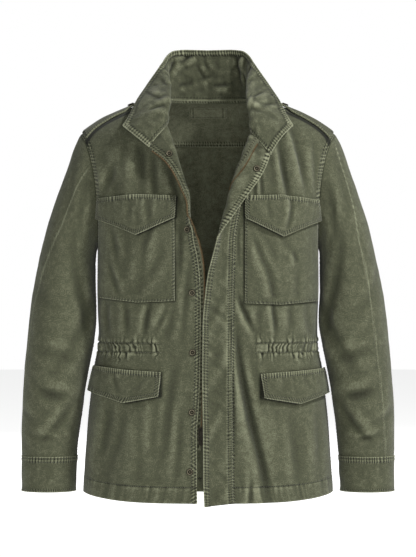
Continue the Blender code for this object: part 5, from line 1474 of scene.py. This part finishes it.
shares, places = np.linspace(0, 1, 62)[:, None], np.linspace(0, 1, 30)[None]
row = {name: np.interp(shares, EPAULETTE["share"], EPAULETTE[name]) for name in EPAULETTE}
strap_x = row["front_x"] + (row["back_x"] - row["front_x"]) * places
strap_y = row["front_y"] + (row["back_y"] - row["front_y"]) * places
under, strap_normals = shoulder_top(strap_x, strap_y)
strap = under + strap_normals * (row["lift"][..., None] + EPAULETTE_WALL)
across, right_away, up, tip_away = edges_away(strap)
sides_away = np.minimum(across, right_away)
free_away = np.minimum(sides_away, tip_away)
along = np.where(tip_away < sides_away, across + 200, up)
for name, side in SIDES:
    high, pale = topstitched(along, free_away, EPAULETTE_ROWS, 131 + side, pitch=5.0, rope=0.4)
    high = high + 0.5 * ripple(up / 22, across / 20, 133 + side)
    data = mirrored(pushed(strap, (0, 0, 1), high, 0.55 * pale), side)
    group = "epaulette_" + name
    stitch_rows(group, data, left=EPAULETTE_ROWS, right=EPAULETTE_ROWS, top=EPAULETTE_ROWS)
    epaulette = sewn_sheet(f"{group}_cloth", data, OLIVE, wall=EPAULETTE_WALL)
    dressed(epaulette, group, slot="cloth_edge", flat=(0.05, 0.105), held="folded")
    sew(group)


# The neck label: a blank woven strip inside the yoke, sewn down near both ends and along its edges.
LABEL_HALF_WIDTH, LABEL_TOP_Z, LABEL_BOTTOM_Z, LABEL_WALL = 36.0, -3.5, -22.0, 0.8
LABEL_EDGE_ROW, LABEL_END_ROW = 1.3, 7.5
label_x = np.linspace(-LABEL_HALF_WIDTH, LABEL_HALF_WIDTH, 74)
label_x, label_z = np.meshgrid(label_x, np.linspace(LABEL_BOTTOM_Z, LABEL_TOP_Z, 24))
flat = body_points(label_x, label_z, True)
grid = flat - grid_normals(flat, (0, 1, 0)) * (CLOTH + LAID_GAP + LABEL_WALL)
across, right_away, up, top_away = edges_away(grid)
ends_away = np.minimum(across, right_away)
nearest = np.minimum(ends_away, np.minimum(up, top_away))
bars = hump(ends_away, LABEL_END_ROW, 0.9) + hump(nearest, LABEL_EDGE_ROW, 0.8)
soft = 0.3 * ripple(across / 12, up / 9, 141) - 0.35 * bars
# The label is painted paler all over as light, to go with the yoke's painted light, and its sunken stitch bars
# are painted darker as shade; its edges are paler with wear.
data = pushed(grid, (0, -1, 0), soft, 0.8 * hump(nearest, 0, 0.9) - 0.8 * bars + 0.8)
edge_row, end_rows = (LABEL_EDGE_ROW,), (LABEL_EDGE_ROW, LABEL_END_ROW)
stitch_rows("neck_label", data, left=end_rows, right=end_rows, low=edge_row, top=edge_row)
label = sewn_sheet("neck_label_cloth", data, OLIVE, wall=LABEL_WALL)
dressed(label, "neck_label", slot="cloth_edge", flat=(0.073, 0.019), held="stretched")
sew("neck_label")


# The zip: woven tapes sewn inside each front, with a row of copper-coloured teeth along one edge of
# each. The slider, pull tab and box stay at the foot of the right tape, and the pin at the left's.
TAPE_WALL, TAPE_GAP, TAPE_END_Z = 1.2, 1.3, -634.0
RIGHT_TAPE_UNDER = 2.5
RIGHT_TAPE_OUT = table(
    "z out",
    (-634, 7), (-600, 7), (-500, 4.4), (-366, 6), (-290, 8.5),
    (-262, 8), (-240, 3), (-224, 1.5), (-205, 2), (-60, 3),
)
LEFT_TAPE_FROM_EDGE = (34.0, 46.0)
ZIP_TOP_SHARE = 0.985
TOOTH_PITCH, TOOTH_ROUNDING = 2.6, 0.35
TOOTH_SIZE = (3.0, 1.35, 1.9)
TAPE_COLOURS = (0.06, 0.063, 0.037, 1), (0.2, 0.205, 0.13, 1), (0.012, 0.013, 0.007, 1)
TAPE = cotton("zip_tape_weave", *TAPE_COLOURS, weave=2.0)


def metal(name, dark, bright, roughness, scale, patches):
    """Aged brass or copper: dark in hollows, rubbed brighter in patches."""
    material, shader, start = finish(name, roughness, metallic=0.5, specular=0.2)
    place = start.node("TexCoord", output=3)
    patina, fine = place.noise(scale, 4.0), place.noise(scale * 9)
    rubbed = start.node("Attribute", {"attribute_name": "rubbed"}, output=2)
    tone = (patina * 0.8 + fine * 0.35).within(0.3, 0.85) * patches + rubbed
    wear_to(start, shader, "Base Color", tone.mixed(dark, bright))
    wear_to(start, shader, "Roughness", roughness + tone * -0.15)
    bump = start.node("Bump", {}, {"Strength": 0.25, "Distance": 0.0002, "Height": fine})
    wear_to(start, shader, "Normal", bump)
    return material


COPPER = metal("aged_copper", (0.08, 0.048, 0.02, 1), (0.33, 0.195, 0.09, 1), 0.5, 300.0, 0.5)
BRASS = metal("antique_brass", (0.004, 0.0035, 0.002, 1), (0.25, 0.225, 0.15, 1), 0.55, 260.0, 0.12)


def edge_strip(side, levels, distances):
    """Points of a front's outer face at distances from its free edge, or beyond it where negative."""
    rows = []
    for level in levels:
        line = np.vstack([main_line(side, level), lapel_line(side, level)[1:]])
        run = lengths(line)
        outward = (line[-1] - line[-4]) / np.linalg.norm(line[-1] - line[-4])
        far = distances(float(height(level, 30.0)))
        on = sample(line, (run[-1] - np.maximum(far, 0)) / run[-1])
        rows.append(on + np.maximum(-far, 0)[:, None] * outward)
    return np.array(rows)


def right_tape(z):
    out = float(between(z, RIGHT_TAPE_OUT["z"], RIGHT_TAPE_OUT["out"]))
    return np.linspace(RIGHT_TAPE_UNDER, -out, 12)


def left_tape(z):
    return np.linspace(LEFT_TAPE_FROM_EDGE[1], LEFT_TAPE_FROM_EDGE[0], 12)


bpy.ops.object.select_all(action="DESELECT")
bpy.ops.mesh.primitive_cube_add(size=1)
tooth = bpy.context.object
tooth.name = "tooth_form"
tooth.data.transform(Matrix.Diagonal((*TOOTH_SIZE, 1)))
bevel = tooth.modifiers.new("rounded", "BEVEL")
bevel.width, bevel.segments = TOOTH_ROUNDING, 1
bpy.ops.object.modifier_apply(modifier="rounded")
tooth_points = np.array([v.co for v in tooth.data.vertices])
tooth_faces = [list(p.vertices) for p in tooth.data.polygons]
bpy.data.objects.remove(tooth)

for name, side, tape_at, wall, area, first_tooth in (
    ("right", -1, right_tape, CLOTH, 0.0055, 42.0),
    ("left", 1, left_tape, DOUBLE_CLOTH, 0.0075, 12.0 + TOOTH_PITCH / 2),
):
    low_levels = level_of(np.arange(TAPE_END_Z, ARMPIT_Z, 3.0), 0.0)
    levels = np.concatenate([low_levels, np.linspace(0, neck_level(side) * ZIP_TOP_SHARE, 90)])
    strip = edge_strip(side, levels, tape_at)
    strip = strip - grid_normals(strip, (0, -1, 0)) * (wall + TAPE_GAP)
    middle_away = np.abs(run_across(strip) - 4.5)
    high, pale = topstitched(run_up(strip), middle_away, (0.8,), 151 + side, pitch=5.0, rope=0.25, rise=0.1)
    data = pushed(strip, (0, -1, 0), high, pale + 0.3)
    tape = sewn_sheet(f"zip_tape_{name}_weave", data, TAPE, wall=TAPE_WALL)
    dressed(tape, f"zip_tape_{name}", slot="zip_tape", flat=(0.0125, 0.6), area=area, held="stretched")

    edge, inner = data[:, -1, :6], data[:, -3, :3]
    run = lengths(edge[:, :3])
    starts = np.arange(first_tooth, run[-1] - 6, TOOTH_PITCH)
    centre, out, inner = np.split(read_at(np.hstack([edge, inner]), run, starts), 3, axis=1)
    across = centre - inner
    across /= np.linalg.norm(across, axis=1, keepdims=True)
    out = out - across * (out * across).sum(1, keepdims=True)
    out /= np.linalg.norm(out, axis=1, keepdims=True)
    upward = np.cross(out, across)
    centre = centre + across * 0.2 - out * TAPE_WALL / 2
    turned = (
        centre[:, None]
        + tooth_points[None, :, :1] * across[:, None]
        + tooth_points[None, :, 1:2] * upward[:, None]
        + tooth_points[None, :, 2:] * out[:, None]
    )
    faces = [[k + n * len(tooth_points) for k in face] for n in range(len(starts)) for face in tooth_faces]
    teeth = joined_parts(f"zip_teeth_{name}", turned.reshape(-1, 3), faces, COPPER)
    edited(teeth, bpy.ops.mesh.normals_make_consistent, inside=False)

for node in ("zip_slider", "zip_pull", "zip_box", "zip_pin"):
    metal_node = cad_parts[node]
    metal_node.data.materials.clear()
    metal_node.data.materials.append(BRASS)


# The snaps: pressed sockets of antique brass with a rolled rim, a groove and a sunken spring, five
# down the right front, and one each on the turned-back edges and epaulettes.
SNAP_RADIUS, SNAP_BASE = 6.3, 0.5
SNAP_PROFILE = (
    (0.5, 1.3), (0.9, 0.6), (0.9, -0.35), (0.5, -1.1), (0.9, 0.0), (0.35, 0.7), (0.6, 0.15), (0.5, -1.0),
)
bpy.ops.object.select_all(action="DESELECT")
bpy.ops.mesh.primitive_cylinder_add(
    vertices=40, radius=SNAP_RADIUS, depth=SNAP_BASE, location=(0, 0, SNAP_BASE / 2)
)
snap_form = bpy.context.object
snap_form.name = "snap_form"
edited(snap_form, bpy.ops.mesh.select_all, action="DESELECT")
top_face = int(np.argmax([face.center.z + face.normal.z for face in snap_form.data.polygons]))
snap_form.data.polygons[top_face].select = True
bpy.ops.object.mode_set(mode="EDIT")
for inset, rise in SNAP_PROFILE:
    bpy.ops.mesh.inset(thickness=inset, depth=rise)
bpy.ops.object.mode_set(mode="OBJECT")
bevel = snap_form.modifiers.new("rolled", "BEVEL")
bevel.width, bevel.segments, bevel.limit_method, bevel.angle_limit = 0.16, 2, "ANGLE", 0.5
bpy.ops.object.modifier_apply(modifier="rolled")
from_axis = np.array([np.hypot(v.co.x, v.co.y) for v in snap_form.data.vertices])
rubbed = 0.8 * hump(from_axis, 4.2, 0.6) + 1.0 * hump(from_axis, 0, 1.0)
snap_form.data.attributes.new("rubbed", "FLOAT", "POINT").data.foreach_set("value", rubbed)
for node in [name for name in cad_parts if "_snap_" in name]:
    corners = np.array([v.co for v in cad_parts[node].data.vertices])
    middle = corners.mean(0)
    spread = corners - middle
    normal = np.linalg.svd(spread, full_matrices=False)[2][2]
    normal = normal * np.sign(normal @ ((0, 0, 1) if node.startswith("epaulette") else (0, -1, 0)))
    base = middle + normal * (spread @ normal).min()
    copy = snap_form.copy()
    copy.data = snap_form.data.copy()
    copy.name = copy.data.name = node + "_socket"
    bpy.context.scene.collection.objects.link(copy)
    turn_to = Vector(normal).to_track_quat("Z", "Y").to_matrix().to_4x4()
    copy.data.transform(Matrix.Translation(Vector(base)) @ turn_to @ Matrix.Scale(MM, 4))
    copy.matrix_world = Matrix.Identity(4)
    copy.data.materials.append(BRASS)
    copy.data.shade_smooth()
    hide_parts(node)
    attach(copy, "jacket")
bpy.data.objects.remove(snap_form)
